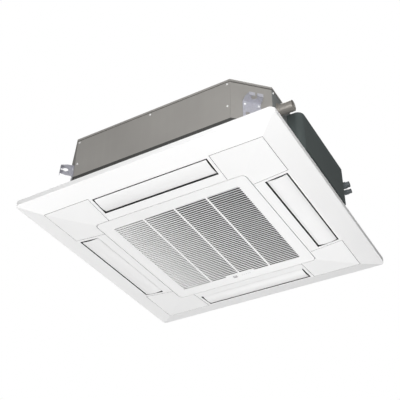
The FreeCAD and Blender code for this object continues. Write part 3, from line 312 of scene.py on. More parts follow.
@dataclass(frozen=True)
class Finish:
    """A surface with a soft cloud of tone, which other finishes build on."""

    name: str
    colour: Colour
    roughness: float = 0.45
    cloud: float = 0.04
    cloud_scale: float = 6.0
    cloud_span: ClassVar[Span] = (0.3, 0.7)

    def tone(self, graph: Graph) -> Wire:
        """Draws the base colour with its cloud.

        Args:
            graph: the material's graph.

        Returns:
            The colour.
        """
        cloud = graph.ramp(graph.pattern(Pattern.CLOUD, self.cloud_scale), *self.cloud_span)
        return graph.blend(cloud, tint(self.colour, 1 - self.cloud), tint(self.colour, 1 + self.cloud))

    def paint(self, graph: Graph) -> None:
        """Draws the surface.

        Args:
            graph: the material's graph.
        """
        graph.finish(Base_Color=self.tone(graph), Roughness=self.roughness)

    def material(self) -> bpy.types.Material:
        """Finds the finish's material, or makes it on first use.

        Returns:
            The material.
        """
        known = bpy.data.materials.get(self.name)
        if known is not None:
            return known
        graph = Graph(self.name)
        self.paint(graph)
        return graph.material

    def dress(self, nodes: Iterable[str]) -> None:
        """Puts the finish on CAD nodes.

        Args:
            nodes: names of the nodes.
        """
        for name in nodes:
            self.cover(frame["nodes"][name])

    def cover(self, piece: bpy.types.Object) -> None:
        """Puts the finish on one object.

        Args:
            piece: the object.
        """
        piece.data.materials.clear()
        piece.data.materials.append(self.material())


@dataclass(frozen=True)
class Moulded(Finish):
    """Injection-moulded plastic with a fine spark-eroded grain."""

    grain: float = 0.00004
    grain_scale: float = 900.0
    grain_detail: ClassVar[float] = 2
    grain_strength: ClassVar[float] = 0.4
    handled_scale: ClassVar[float] = 3
    handled_gloss: ClassVar[float] = 0.08

    def paint(self, graph: Graph) -> None:
        """Draws the plastic with its grain.

        Args:
            graph: the material's graph.
        """
        grain = graph.pattern(Pattern.CLOUD, self.grain_scale, detail=self.grain_detail)
        handled = graph.pattern(Pattern.CLOUD, self.cloud_scale * self.handled_scale)
        graph.finish(
            Base_Color=self.tone(graph),
            Roughness=handled * self.handled_gloss + (self.roughness - self.handled_gloss / 2),
            Normal=graph.relief(grain, self.grain, self.grain_strength),
        )


@dataclass(frozen=True)
class Recessed(Moulded):
    """Moulded plastic that is pale on its face, with painted shade in a dark colour behind it."""

    # Near-black painted shade for the plastic behind the face.
    lining_and_painted_shade: Colour = (0.03, 0.03, 0.03)
    start: float = 0.0001
    end: float = 0.001

    def depth(self, graph: Graph) -> Wire:
        """Measures how far a point lies behind the pale face.

        Args:
            graph: the material's graph.

        Returns:
            The distance in metres.
        """
        raise NotImplementedError

    def painted_shade_behind(self, graph: Graph) -> object:
        """Gives the painted shade colour behind the face."""
        return self.lining_and_painted_shade

    def face(self, graph: Graph) -> Wire:
        """Gives the colour of the face itself."""
        return super().tone(graph)

    def tone(self, graph: Graph) -> Wire:
        """Draws the plastic's colour, with painted shade behind its face.

        Args:
            graph: the material's graph.

        Returns:
            The colour.
        """
        deep = graph.ramp(self.depth(graph), self.start, self.end)
        return graph.blend(deep, self.face(graph), self.painted_shade_behind(graph))


@dataclass(frozen=True)
class PanelSkin(Recessed):
    """Plastic of the ceiling panel, with painted shade within its outlets and along the seams of its corner
    covers.
    """

    flat_half: float = 0.281
    crease_half: float = 0.403
    rim_half: float = 0.475
    flat_level: float = -0.216
    crease_rise: float = 0.011
    rim_rise: float = 0.017
    duct: Span = (0.3185, 0.3975)
    duct_half: float = 0.2135
    seam_out: Span = (0.4025, 0.405)
    seam_along: Span = (0.223, 0.2255)
    seam_depth: float = 0.0035
    end: float = 0.0004

    def depth(self, graph: Graph) -> Wire:
        """Measures the height above the sloping face, in the outlets and the seams alone.

        Args:
            graph: the material's graph.

        Returns:
            The distance in metres, or nothing elsewhere.
        """
        x, y, z = graph.axes()
        out = abs(x).highest(abs(y))
        along = abs(x) + abs(y) - out
        slope = graph.ramp(out, self.flat_half, self.crease_half) * self.crease_rise
        border = graph.ramp(out, self.crease_half, self.rim_half) * self.rim_rise
        above = z - self.flat_level - slope - border
        duct = out.within(*self.duct) * (self.duct_half - along > 0.0)
        covers = out.within(self.flat_half, self.seam_out[1])
        seam = out.within(*self.seam_out).highest(along.within(*self.seam_along) * covers)
        # Painted shade fills the outlets and the seams of the corner covers.
        return above * duct.highest(seam * (self.seam_depth - above > 0.0))


@dataclass(frozen=True)
class BladeSkin(Recessed):
    """Plastic of a louvre, whose face bows downward, with painted shade above the bowed face."""

    inner: float = 0.323
    outer: float = 0.393
    inner_level: float = -0.2105
    drop: float = -0.0045
    bow: float = 0.0122
    curl: float = 0.002
    curl_reach: float = 0.04
    start: float = 0.0008
    end: float = 0.002

    def depth(self, graph: Graph) -> Wire:
        """Measures the height above the bowed face.

        Args:
            graph: the material's graph.

        Returns:
            The distance in metres.
        """
        x, y, z = graph.axes()
        out = abs(x).highest(abs(y))
        across = graph.ramp(out, self.inner, self.outer)
        flat = 1 - graph.ramp(out, self.inner, self.inner + self.curl_reach)
        face = across * self.drop + across * (1 - across) * self.bow - flat * flat * self.curl
        # The height above the bowed face sets where the painted shade begins.
        return z - self.inner_level + face


@dataclass(frozen=True)
class SlatSkin(Recessed):
    """Plastic of the intake grille, with painted shade between its slats."""

    face_level: float = -0.216
    field_half: float = 0.2392
    # Painted light and shade on the walls between the slats: pale on the left, dark on the right.
    painted_lit_wall: Colour = (0.86, 0.86, 0.855)
    lit_wall_end: float = -0.22
    shaded_wall_end: float = 0.035
    rib_pitch: float = 0.12
    rib_share: float = 0.028
    shade: float = 0.62
    shade_end: float = 0.3
    shade_slant: float = 0.4

    def depth(self, graph: Graph) -> Wire:
        """Measures the height above the flat face, within the slatted field."""
        x, y, z = graph.axes()
        return (z - self.face_level) * (self.field_half - abs(x).highest(abs(y)) > 0.0)

    def painted_shade_behind(self, graph: Graph) -> object:
        """Paints light and shade on the walls between the slats, from pale on the left to dark on the right.
        """
        across = graph.ramp(graph.axes()[0], self.lit_wall_end, self.shaded_wall_end)
        return graph.blend(across, self.painted_lit_wall, self.lining_and_painted_shade)

    def face(self, graph: Graph) -> Wire:
        """Draws the face's colour, with painted shade that darkens the slats to the right between pale ribs.

        Args:
            graph: the material's graph.

        Returns:
            The colour.
        """
        x, y, _ = graph.axes()
        column = x.wrapped(self.rib_pitch)
        slats = column.within(self.rib_share, 1 - self.rib_share)
        field = self.field_half - abs(x).highest(abs(y)) > 0.0
        # Painted shade on the slat faces, darker towards the right.
        painted_slat_shade = graph.ramp(x - y * self.shade_slant, 0.0, self.shade_end)
        return graph.blend(painted_slat_shade * slats * field, super().face(graph), tint(self.colour, self.shade))


@dataclass(frozen=True)
class Sheet(Finish):
    """Coated sheet metal with faint rolling streaks."""

    metallic: float = 0.0
    streak: float = 0.05
    streak_scale: ClassVar[float] = 40
    streak_stretch: ClassVar[Lengths] = (1, 1, 0.04)
    streak_detail: ClassVar[float] = 2
    streak_span: ClassVar[Span] = (0.35, 0.65)
    streak_tone: ClassVar[float] = 0.5
    gloss_scale: ClassVar[float] = 14
    gloss_change: ClassVar[float] = 0.16

    def paint(self, graph: Graph) -> None:
        """Draws the sheet with streaks and a soft change of gloss.

        Args:
            graph: the material's graph.
        """
        rolled = graph.pattern(Pattern.CLOUD, self.streak_scale, self.streak_stretch, self.streak_detail)
        streaks = graph.ramp(rolled, *self.streak_span)
        colour = graph.blend(streaks * self.streak, self.tone(graph), tint(self.colour, self.streak_tone))
        gloss = graph.pattern(Pattern.CLOUD, self.gloss_scale)
        rough = gloss * self.gloss_change + (self.roughness - self.gloss_change / 2)
        graph.finish(Base_Color=colour, Roughness=rough, Metallic=self.metallic)


@dataclass(frozen=True)
class PlateSheet(Sheet):
    """Casing sheet with a painted shadow line under the top plate's rim."""

    lap_level: float = 0.0775
    lap_height: float = 0.003
    lap_shadow_tone: float = 0.3

    def tone(self, graph: Graph) -> Wire:
        """Draws the sheet's colour with the painted shadow line.

        Args:
            graph: the material's graph.

        Returns:
            The colour.
        """
        # Painted shadow: a dark strip just below the top plate's rim.
        line = graph.axes()[2].within(self.lap_level - self.lap_height, self.lap_level)
        return graph.blend(line, super().tone(graph), tint(self.colour, self.lap_shadow_tone))


@dataclass(frozen=True)
class Galvanised(Finish):
    """Zinc-coated steel with crystal spangles."""

    metallic: float = 0.75
    spangle_scale: float = 160.0
    spangle_span: ClassVar[Span] = (0.1, 0.8)
    spangle_tone: ClassVar[float] = 0.86
    gloss_change: ClassVar[float] = 0.2
    gloss_gain: ClassVar[float] = 0.08

    def paint(self, graph: Graph) -> None:
        """Draws spangles of two tones.

        Args:
            graph: the material's graph.
        """
        spangle = graph.pattern(Pattern.CELLS, self.spangle_scale)
        bright = graph.ramp(spangle, *self.spangle_span)
        colour = graph.blend(bright, tint(self.colour, self.spangle_tone), self.tone(graph))
        rough = spangle * self.gloss_change + (self.roughness - self.gloss_gain)
        graph.finish(Base_Color=colour, Roughness=rough, Metallic=self.metallic)


@dataclass(frozen=True)
class Foam(Finish):
    """Moulded bead foam."""

    bead_scale: float = 260.0
    bead_depth: float = 0.0006
    bead_strength: ClassVar[float] = 0.5
    joint_span: ClassVar[Span] = (0.35, 0.8)
    joint_share: ClassVar[float] = 0.35
    joint_tone: ClassVar[float] = 0.6

    def paint(self, graph: Graph) -> None:
        """Draws the beads as dimples and darker joints.

        Args:
            graph: the material's graph.
        """
        beads = graph.pattern(Pattern.CELLS, self.bead_scale)
        joints = graph.ramp(beads, *self.joint_span)
        colour = graph.blend(joints * self.joint_share, self.tone(graph), tint(self.colour, self.joint_tone))
        dimples = graph.relief(1 - beads, self.bead_depth, self.bead_strength)
        graph.finish(Base_Color=colour, Roughness=self.roughness, Normal=dimples)


@dataclass(frozen=True)
class Tube(Finish):
    """Drawn metal, dulled in patches."""

    metallic: float = 0.95
    dull_scale: ClassVar[float] = 60
    dull_span: ClassVar[Span] = (0.45, 0.7)
    dull_share: ClassVar[float] = 0.4
    dull_tone: ClassVar[float] = 0.55
    dull_roughness: ClassVar[float] = 0.2

    def paint(self, graph: Graph) -> None:
        """Draws bright metal with dull patches.

        Args:
            graph: the material's graph.
        """
        dull = graph.ramp(graph.pattern(Pattern.CLOUD, self.dull_scale), *self.dull_span)
        colour = graph.blend(dull * self.dull_share, self.tone(graph), tint(self.colour, self.dull_tone))
        rough = dull * self.dull_roughness + self.roughness
        graph.finish(Base_Color=colour, Roughness=rough, Metallic=self.metallic)


@dataclass(frozen=True)
class Fins(Finish):
    """Closely stacked aluminium fins, seen on edge."""

    pitch: float = 0.0018
    edge_share: ClassVar[float] = 0.55
    gap_shade_tone: ClassVar[float] = 0.25
    metallic: ClassVar[float] = 0.7

    def paint(self, graph: Graph) -> None:
        """Draws fin edges with painted shade in the gaps between them.

        Args:
            graph: the material's graph.
        """
        x, y, _ = graph.axes()
        gap = (x + y).wrapped(self.pitch) > self.edge_share
        colour = graph.blend(gap, self.tone(graph), tint(self.colour, self.gap_shade_tone))
        graph.finish(Base_Color=colour, Roughness=self.roughness, Metallic=self.metallic)


@dataclass(frozen=True)
class Net(Finish):
    """Woven filter net, open between its threads."""

    pitch: float = 0.0022
    thread: float = 0.45

    def paint(self, graph: Graph) -> None:
        """Draws crossing threads over open gaps.

        Args:
            graph: the material's graph.
        """
        x, y, _ = graph.axes()
        weave = (self.thread - x.wrapped(self.pitch)).highest(self.thread - y.wrapped(self.pitch)) > 0.0
        graph.finish(Base_Color=self.tone(graph), Roughness=self.roughness, Alpha=weave)


@dataclass(frozen=True)
class Laminate(Finish):
    """Circuit board with copper runs under its lacquer."""

    pitch: float = 0.006
    bend_scale: ClassVar[float] = 30
    bend_reach: ClassVar[float] = 0.02
    gap_share: ClassVar[float] = 0.7
    cross_pitches: ClassVar[float] = 3
    cross_gap_share: ClassVar[float] = 0.9
    run_tone: ClassVar[float] = 1.7

    def paint(self, graph: Graph) -> None:
        """Draws runs a little lighter than the board.

        Args:
            graph: the material's graph.
        """
        _, y, z = graph.axes()
        bend = graph.pattern(Pattern.CLOUD, self.bend_scale)
        runs = (y + bend * self.bend_reach).wrapped(self.pitch) > self.gap_share
        across = (z + bend * self.bend_reach).wrapped(self.pitch * self.cross_pitches) > self.cross_gap_share
        colour = graph.blend(runs.highest(across), self.tone(graph), tint(self.colour, self.run_tone))
        graph.finish(Base_Color=colour, Roughness=self.roughness)


@dataclass(frozen=True)
class Lens(Finish):
    """Tinted clear plastic."""

    coat: float = 0.6

    def paint(self, graph: Graph) -> None:
        """Draws the tint under a glossy skin.

        Args:
            graph: the material's graph.
        """
        graph.finish(Base_Color=self.tone(graph), Roughness=self.roughness, Coat_Weight=self.coat)


@dataclass(frozen=True)
class Backdrop(Finish):
    """Evenly lit pale floor."""

    glow: float = 0.85

    def paint(self, graph: Graph) -> None:
        """Draws the floor with its own soft light.

        Args:
            graph: the material's graph.
        """
        tone = self.tone(graph)
        graph.finish(Base_Color=tone, Roughness=self.roughness)
        graph.finish(Emission_Color=tone, Emission_Strength=self.glow)


SIDES = ("front", "right", "back", "left")
CORNERS = ("front_right", "back_right", "back_left", "front_left")


def each(stem: str, names: Sequence[str]) -> list[str]:
    """Gives the names of a repeated sub-part.

    Args:
        stem: the first part of the name.
        names: the sides or corners.

    Returns:
        The full names.
    """
    return [f"{stem}_{name}" for name in names]


class Bench:
    """Blender's modelling tools, as used by hand."""

    @staticmethod
    def clear() -> None:
        """Deselects everything and leaves edit mode."""
        if bpy.context.object is not None and bpy.context.object.mode != "OBJECT":
            bpy.ops.object.mode_set(mode="OBJECT")
        bpy.ops.object.select_all(action="DESELECT")

    @staticmethod
    def hold(piece: bpy.types.Object) -> None:
        """Selects one object alone and makes it active.

        Args:
            piece: the object.
        """
        Bench.clear()
        piece.select_set(True)
        bpy.context.view_layer.objects.active = piece

    @staticmethod
    def fix(piece: bpy.types.Object) -> None:
        """Moves the object's place, turn and scale into its mesh."""
        Bench.hold(piece)
        bpy.ops.object.transform_apply(location=True, rotation=True, scale=True)

    @staticmethod
    def pick_faces(piece: bpy.types.Object, normal: Vector, lowest: float) -> None:
        """Selects the faces that look one way and lie beyond a level, and enters edit mode.

        Args:
            piece: the object in hand.
            normal: the direction that the faces look.
            lowest: the least distance along that direction.
        """
        Bench.start_picking(piece, "FACE")
        for face in piece.data.polygons:
            face.select = face.normal.dot(normal) > ALIGNED and face.center.dot(normal) >= lowest
        bpy.ops.object.mode_set(mode="EDIT")

    @staticmethod
    def pick_edges(piece: bpy.types.Object, direction: Vector) -> None:
        """Selects the edges that run one way, and enters edit mode.

        Args:
            piece: the object in hand.
            direction: the way that the edges run.
        """
        Bench.start_picking(piece, "EDGE")
        points = piece.data.vertices
        for edge in piece.data.edges:
            run = (points[edge.vertices[1]].co - points[edge.vertices[0]].co).normalized()
            edge.select = abs(run.dot(direction)) > ALIGNED
        bpy.ops.object.mode_set(mode="EDIT")

    @staticmethod
    def start_picking(piece: bpy.types.Object, kind: str) -> None:
        """Deselects all of a piece's mesh, ready for one kind of element to be picked.

        Args:
            piece: the object in hand.
            kind: the select mode, FACE, EDGE or VERT.
        """
        Bench.hold(piece)
        bpy.ops.object.mode_set(mode="EDIT")
        bpy.ops.mesh.select_mode(type=kind)
        bpy.ops.mesh.select_all(action="DESELECT")
        bpy.ops.object.mode_set(mode="OBJECT")

    @staticmethod
    def round_off(width: float, steps: int) -> None:
        """Bevels the picked edges, or the rims of the picked faces, and leaves edit mode.

        Args:
            width: the bevel's width.
            steps: its number of segments.
        """
        bpy.ops.mesh.bevel(offset=width, segments=steps, affect="EDGES")
        bpy.ops.object.mode_set(mode="OBJECT")

    @staticmethod
    def carve(piece: bpy.types.Object, middle: Sequence[float], sides: Sequence[float]) -> None:
        """Cuts a box-shaped recess.

        Args:
            piece: the object to cut.
            middle: the box's middle.
            sides: the box's lengths along X, Y and Z.
        """
        Bench.clear()
        bpy.ops.mesh.primitive_cube_add(size=1, location=middle)
        cutter = bpy.context.object
        cutter.scale = sides
        Bench.fix(cutter)
        Bench.hold(piece)
        bpy.ops.object.modifier_add(type="BOOLEAN")
        cut = piece.modifiers[-1]
        cut.operation = "DIFFERENCE"
        cut.object = cutter
        bpy.ops.object.modifier_apply(modifier=cut.name)
        bpy.data.objects.remove(cutter)

    @staticmethod
    def copies(model: bpy.types.Object, places: Iterable[Matrix], name: str) -> bpy.types.Object:
        """Copies a modelled piece to its places and joins the copies, in place of the model.

        Args:
            model: the piece that repeats.
            places: a matrix for each copy.
            name: the joined piece's name.

        Returns:
            The joined piece.
        """
        made = []
        for place in places:
            Bench.hold(model)
            bpy.ops.object.duplicate()
            copy = bpy.context.object
            copy.matrix_world = place
            made.append(copy)
        bpy.data.objects.remove(model)
        for copy in made:
            Bench.fix(copy)
        for copy in made:
            copy.select_set(True)
        bpy.ops.object.join()
        joined = bpy.context.object
        joined.name = name
        return joined

    @staticmethod
    def shift(piece: bpy.types.Object, chosen: Callable[[Vector], bool], step: Sequence[float]) -> None:
        """Moves the points of a piece that pass a test.

        Args:
            piece: the object in hand.
            chosen: the test of a point's place.
            step: how far they move.
        """
        Bench.start_picking(piece, "VERT")
        for point in piece.data.vertices:
            point.select = chosen(point.co)
        bpy.ops.object.mode_set(mode="EDIT")
        bpy.ops.transform.translate(value=step)
        bpy.ops.object.mode_set(mode="OBJECT")

    @staticmethod
    def merged(node: str, name: str) -> bpy.types.Object:
        """Copies a CAD node's mesh and merges its triangles into whole faces.

        Args:
            node: the node's name.
            name: the copy's name.

        Returns:
            The copy.
        """
        piece = bpy.data.objects.new(name, frame["nodes"][node].data.copy())
        bpy.context.scene.collection.objects.link(piece)
        Bench.hold(piece)
        bpy.ops.object.mode_set(mode="EDIT")
        bpy.ops.mesh.select_all(action="SELECT")
        bpy.ops.mesh.remove_doubles(threshold=MERGE_DISTANCE)
        bpy.ops.mesh.dissolve_limited(angle_limit=FLAT_ANGLE)
        bpy.ops.object.mode_set(mode="OBJECT")
        return piece

    @staticmethod
    def rounded(node: str, width: float) -> bpy.types.Object:
        """Copies a CAD node's mesh and rounds its sharp edges.

        Args:
            node: the node's name.
            width: the rounding's width.

        Returns:
            The rounded piece.
        """
        piece = Bench.merged(node, f"{node}_rounded")
        bpy.ops.object.modifier_add(type="BEVEL")
        bevel = piece.modifiers[-1]
        bevel.width = width
        bevel.segments = ROUNDING_STEPS
        bevel.limit_method = "ANGLE"
        bevel.angle_limit = SHARP_ANGLE
        bpy.ops.object.modifier_apply(modifier=bevel.name)
        return piece

    @staticmethod
    def stand(piece: bpy.types.Object, node: str, finish: Finish) -> None:
        """Smooths and dresses a finished piece, and puts it in a CAD node's place.

        Args:
            piece: the finished piece.
            node: the node that it stands for.
            finish: its finish.
        """
        Bench.fix(piece)
        bpy.ops.object.shade_smooth_by_angle(angle=SMOOTH_ANGLE)
        bpy.ops.object.modifier_add(type="WEIGHTED_NORMAL")
        flat = piece.modifiers[-1]
        flat.keep_sharp = True
        bpy.ops.object.modifier_apply(modifier=flat.name)
        finish.cover(piece)
        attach(piece, frame["nodes"][node]["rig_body"])
        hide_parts(node)
        LOG.info("%s stands for %s", piece.name, node)


@dataclass
class CasingScrews:
    """Pan-head screws with a cross recess, on the casing plates and the hanger brackets."""

    steel: Finish = Galvanised("casing_screw_steel", (0.9, 0.9, 0.9), 0.3, metallic=0.2)
    radius: float = 3.5 * MM
    height: float = 2.0 * MM
    rounding: float = 1.1 * MM
    recess: Lengths = (4.0 * MM, 0.9 * MM, 2.2 * MM)
    facets: int = 20
    steps: int = 3
    plate_out: float = 400.0 * MM
    plate_along: float = 290.0 * MM
    plate_rows: Span = (67.0 * MM, -28.0 * MM)
    bracket_out: float = 495.77 * MM
    bracket_along: float = 23.0 * MM
    bracket_row: float = -12.0 * MM
    corner_turn: int = 45
    bare_side: int = 90

    def head(self) -> bpy.types.Object:
        """Models one head, which stands on the origin along Z.

        Returns:
            The head.
        """
        Bench.clear()
        bpy.ops.mesh.primitive_cylinder_add(
            vertices=self.facets, radius=self.radius, depth=self.height, location=(0, 0, self.height / 2))
        head = bpy.context.object
        Bench.fix(head)
        Bench.pick_faces(head, Vector((0, 0, 1)), self.height / 2)
        Bench.round_off(self.rounding, self.steps)
        long, short, deep = self.recess
        for sides in ((long, short, deep), (short, long, deep)):
            Bench.carve(head, (0, 0, self.height), sides)
        return head

    def places(self) -> list[Matrix]:
        """Gives each head's place on the four sides and the four corners.

        Returns:
            One matrix for each head.
        """
        top, low = self.plate_rows
        side = [(-self.plate_along, top), (0.0, top), (self.plate_along, top),
                (-self.plate_along, low), (self.plate_along, low)]
        laid = Matrix.Rotation(math.radians(RIGHT_ANGLE), 4, "X")
        spots = []
        for turn in QUARTER_TURNS:
            spots += [(turn, self.plate_out, along, level) for along, level in side
                      if along or turn != self.bare_side]
            spots += [(turn + self.corner_turn, self.bracket_out, along, self.bracket_row)
                      for along in (-self.bracket_along, self.bracket_along)]
        return [
            Matrix.Rotation(math.radians(turn), 4, "Z") @ Matrix.Translation((along, -out, level)) @ laid
            for turn, out, along, level in spots
        ]

    def dress(self) -> None:
        """Models the screws and puts them in place."""
        heads = Bench.copies(self.head(), self.places(), "casing_screw_heads")
        Bench.stand(heads, "casing_screws", self.steel)


@dataclass
class Display:
    """Receiver window and indicator lamps on the grille's step."""

    window: Finish = Lens("receiver_lens", (0.22, 0.22, 0.225), 0.25, 0.05, 80.0)
    lamps: Finish = Lens("lamp_lens", (0.16, 0.16, 0.155), 0.3, 0.05, 120.0)
    window_corner: float = 1.5 * MM
    window_rim: float = 0.5 * MM
    lamp_radius: float = 1.5 * MM
    lamp_pitch: float = 8.0 * MM
    lamp_count: int = 5
    lamp_rim: float = 0.8 * MM
    lamp_facets: int = 16
    corner_steps: int = 4
    rim_steps: int = 3

    def make_window(self) -> None:
        """Models the window as a slab with rounded corners and a softened rim."""
        low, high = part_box("receiver_window")
        Bench.clear()
        bpy.ops.mesh.primitive_cube_add(size=1, location=(low + high) / 2)
        window = bpy.context.object
        window.name = "receiver_slab"
        window.scale = high - low
        Bench.fix(window)
        Bench.pick_edges(window, Vector((0, 0, 1)))
        Bench.round_off(self.window_corner, self.corner_steps)
        Bench.pick_faces(window, Vector((0, 0, -1)), -low.z - self.window_rim)
        Bench.round_off(self.window_rim, self.rim_steps)
        Bench.stand(window, "receiver_window", self.window)

    def make_lamps(self) -> None:
        """Models one lamp with a domed end and copies it along the row."""
        low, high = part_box("indicator_lamps")
        depth = high.z - low.z
        Bench.clear()
        bpy.ops.mesh.primitive_cylinder_add(
            vertices=self.lamp_facets, radius=self.lamp_radius, depth=depth, location=(0, 0, depth / 2))
        lamp = bpy.context.object
        Bench.fix(lamp)
        Bench.pick_faces(lamp, Vector((0, 0, -1)), -depth / 2)
        Bench.round_off(self.lamp_rim, self.rim_steps)
        first = Vector((low.x + self.lamp_radius, (low.y + high.y) / 2, low.z))
        step = Vector((self.lamp_pitch, 0, 0))
        places = [Matrix.Translation(first + step * index) for index in range(self.lamp_count)]
        Bench.stand(Bench.copies(lamp, places, "lamp_domes"), "indicator_lamps", self.lamps)

    def dress(self) -> None:
        """Models the window and the lamps."""
        self.make_window()
        self.make_lamps()


@dataclass
class Louvres:
    """Louvre blades whose inner edge curls up into the outlet."""

    plastic: BladeSkin = BladeSkin("louvre_plastic", (0.76, 0.758, 0.757), 0.36, 0.015, 5.0)
    half: float = 210.5 * MM
    plate_top: float = -202.5 * MM
    arm: float = 3.0 * MM
    inner_trim: float = 0.5 * MM
    outer_trim: float = 1.2 * MM
    outer_rise: float = 0.7 * MM
    end_trim: float = 3.0 * MM
    rows: int = 8
    grain: float = 0.01 * MM

    def lift(self, out: float) -> float:
        """Gives how far the curl raises the blade.

        Args:
            out: the distance from the panel's middle.

        Returns:
            The rise in metres.
        """
        share = 1 - (out - self.plastic.inner) / self.plastic.curl_reach
        return self.plastic.curl * max(0.0, min(1.0, share)) ** 2

    def front(self) -> bpy.types.Object:
        """Curls and trims the front blade.

        Returns:
            The blade.
        """
        inner, outer, reach = self.plastic.inner, self.plastic.outer, self.plastic.curl_reach
        blade = Bench.merged("louvre_front", "front_blade")
        for row in range(1, self.rows):
            bpy.ops.object.mode_set(mode="EDIT")
            bpy.ops.mesh.select_all(action="SELECT")
            bpy.ops.mesh.bisect(plane_co=(0, -inner - reach * row / self.rows, 0), plane_no=(0, 1, 0))
            bpy.ops.object.mode_set(mode="OBJECT")
        points = [point.co for point in blade.data.vertices]
        plate = {round(at.y / self.grain) for at in points if at.z < self.plate_top}
        for place in sorted(plate):
            rise = self.lift(-place * self.grain)
            if rise:
                Bench.shift(
                    blade,
                    lambda at, y=place: at.z < self.plate_top and round(at.y / self.grain) == y,
                    (0, 0, rise),
                )
        Bench.shift(blade, lambda at: abs(at.y + inner) < self.grain, (0, -self.inner_trim, 0))
        Bench.shift(blade, lambda at: abs(at.y + outer) < self.grain, (0, self.outer_trim, self.outer_rise))
        start, end = self.half - self.arm - self.grain, self.half + self.grain
        for sign in (-1, 1):
            Bench.shift(blade, lambda at, way=sign: start < at.x * way < end, (-self.end_trim * sign, 0, 0))
        return blade

    def dress(self) -> None:
        """Models the front blade and copies it to the other sides."""
        model = self.front()
        for turn, side in zip(QUARTER_TURNS, SIDES):
            Bench.hold(model)
            bpy.ops.object.duplicate()
            blade = bpy.context.object
            blade.name = f"{side}_louvre_blade"
            blade.matrix_world = Matrix.Rotation(math.radians(turn), 4, "Z")
            Bench.stand(blade, f"louvre_{side}", self.plastic)
        bpy.data.objects.remove(model)


@dataclass
class CeilingPanel:
    """White ceiling panel: frame, corner covers, louvres and their motors."""

    plastic: Finish = PanelSkin("panel_plastic", (0.785, 0.783, 0.782), 0.4, 0.012, 3.0)
    cover_plastic: Finish = PanelSkin("cover_plastic", (0.78, 0.778, 0.777), 0.4, 0.012, 4.0)
    louvres: Louvres = field(default_factory=Louvres)
    catch_plastic: Finish = Moulded("catch_plastic", (0.7, 0.7, 0.69), 0.4, 0.02, 40.0)
    motor_case: Finish = Sheet("swing_motor_case", (0.35, 0.36, 0.36), 0.4, 0.05, 30.0, 0.6)
    screw_steel: Finish = Galvanised("panel_screw_steel", (0.6, 0.6, 0.6), 0.35)

    def dress(self) -> None:
        """Dresses the panel's nodes."""
        self.plastic.dress(["panel_frame"])
        self.catch_plastic.dress(["catch_left", "catch_right"])
        self.cover_plastic.dress(each("corner_cover", CORNERS))
        self.louvres.dress()
        self.motor_case.dress(each("swing_motor", SIDES))
        self.screw_steel.dress(["panel_screws"])
        LOG.info("ceiling panel dressed")


@dataclass
class IntakeGrille:
    """Slatted grille with its filter."""

    # The near-black colour given below is painted shade between the slats.
    plastic: Finish = SlatSkin(
        "grille_plastic", (0.785, 0.783, 0.782), 0.4, 0.012, 3.0, lining_and_painted_shade=(0.02, 0.02, 0.02))
    filter_plastic: Finish = Moulded("filter_moulding", (0.08, 0.08, 0.08), 0.55, 0.06, 8.0)
    net: Finish = Net("filter_net", (0.05, 0.05, 0.052), 0.7)

    def dress(self) -> None:
        """Dresses the grille's nodes."""
        self.plastic.dress(["intake_grille"])
        self.filter_plastic.dress(["filter_frame"])
        self.net.dress(["filter_net"])
        LOG.info("intake grille dressed")


@dataclass
class Casing:
    """Octagonal sheet-metal casing with its hanger brackets and foot band."""

    sheet: Finish = PlateSheet("casing_sheet", (0.33, 0.318, 0.3), 0.42, 0.05, 5.0, 0.15)
    bracket_steel: Finish = Galvanised("hanger_steel", (0.5, 0.5, 0.55), 0.45, metallic=0.35)
    band: Finish = Foam("band_foam", (0.055, 0.055, 0.052), 0.8, 0.08, 20.0)
    lining_and_painted_shade: Finish = Foam("lining_foam", (0.05, 0.05, 0.05), 0.85, 0.05, 12.0)
    # Darker copy of the casing sheet for the right side plate: painted shade on the side turned away from
    # the light.
    shaded_right_sheet: Finish = PlateSheet("shaded_right_side_sheet", (0.22, 0.231, 0.231), 0.42, 0.05, 5.0, 0.15)
    bracket_rounding: float = 0.4 * MM

    def dress(self) -> None:
        """Dresses the casing's nodes."""
        unshaded_sides = each("side_plate", ("front", "back", "left"))
        self.sheet.dress(["top_plate", *unshaded_sides, *each("corner_plate", CORNERS)])
        self.shaded_right_sheet.dress(["side_plate_right"])
        for bracket in each("hanger_bracket", CORNERS):
            Bench.stand(Bench.rounded(bracket, self.bracket_rounding), bracket, self.bracket_steel)
        self.band.dress(["lower_band", "panel_seal"])
        self.lining_and_painted_shade.dress(["casing_insulation", "drain_pan"])
        LOG.info("casing dressed")


@dataclass
class ControlBox:
    """Control box on the right side, with what it holds."""

    paint: Finish = Sheet("box_paint", (0.074, 0.089, 0.087), 0.55, 0.06, 7.0, 0.1)
    board: Finish = Laminate("board_laminate", (0.03, 0.12, 0.05), 0.35, 0.08, 40.0)
    terminal: Finish = Moulded("terminal_plastic", (0.06, 0.06, 0.065), 0.4, 0.05, 30.0)
    rounding: float = 0.5 * MM

    def dress(self) -> None:
        """Dresses the box's nodes."""
        for shell in ("control_box", "control_box_cover"):
            Bench.stand(Bench.rounded(shell, self.rounding), shell, self.paint)
        self.board.dress(["control_board"])
        self.terminal.dress(["terminal_block"])
        LOG.info("control box dressed")


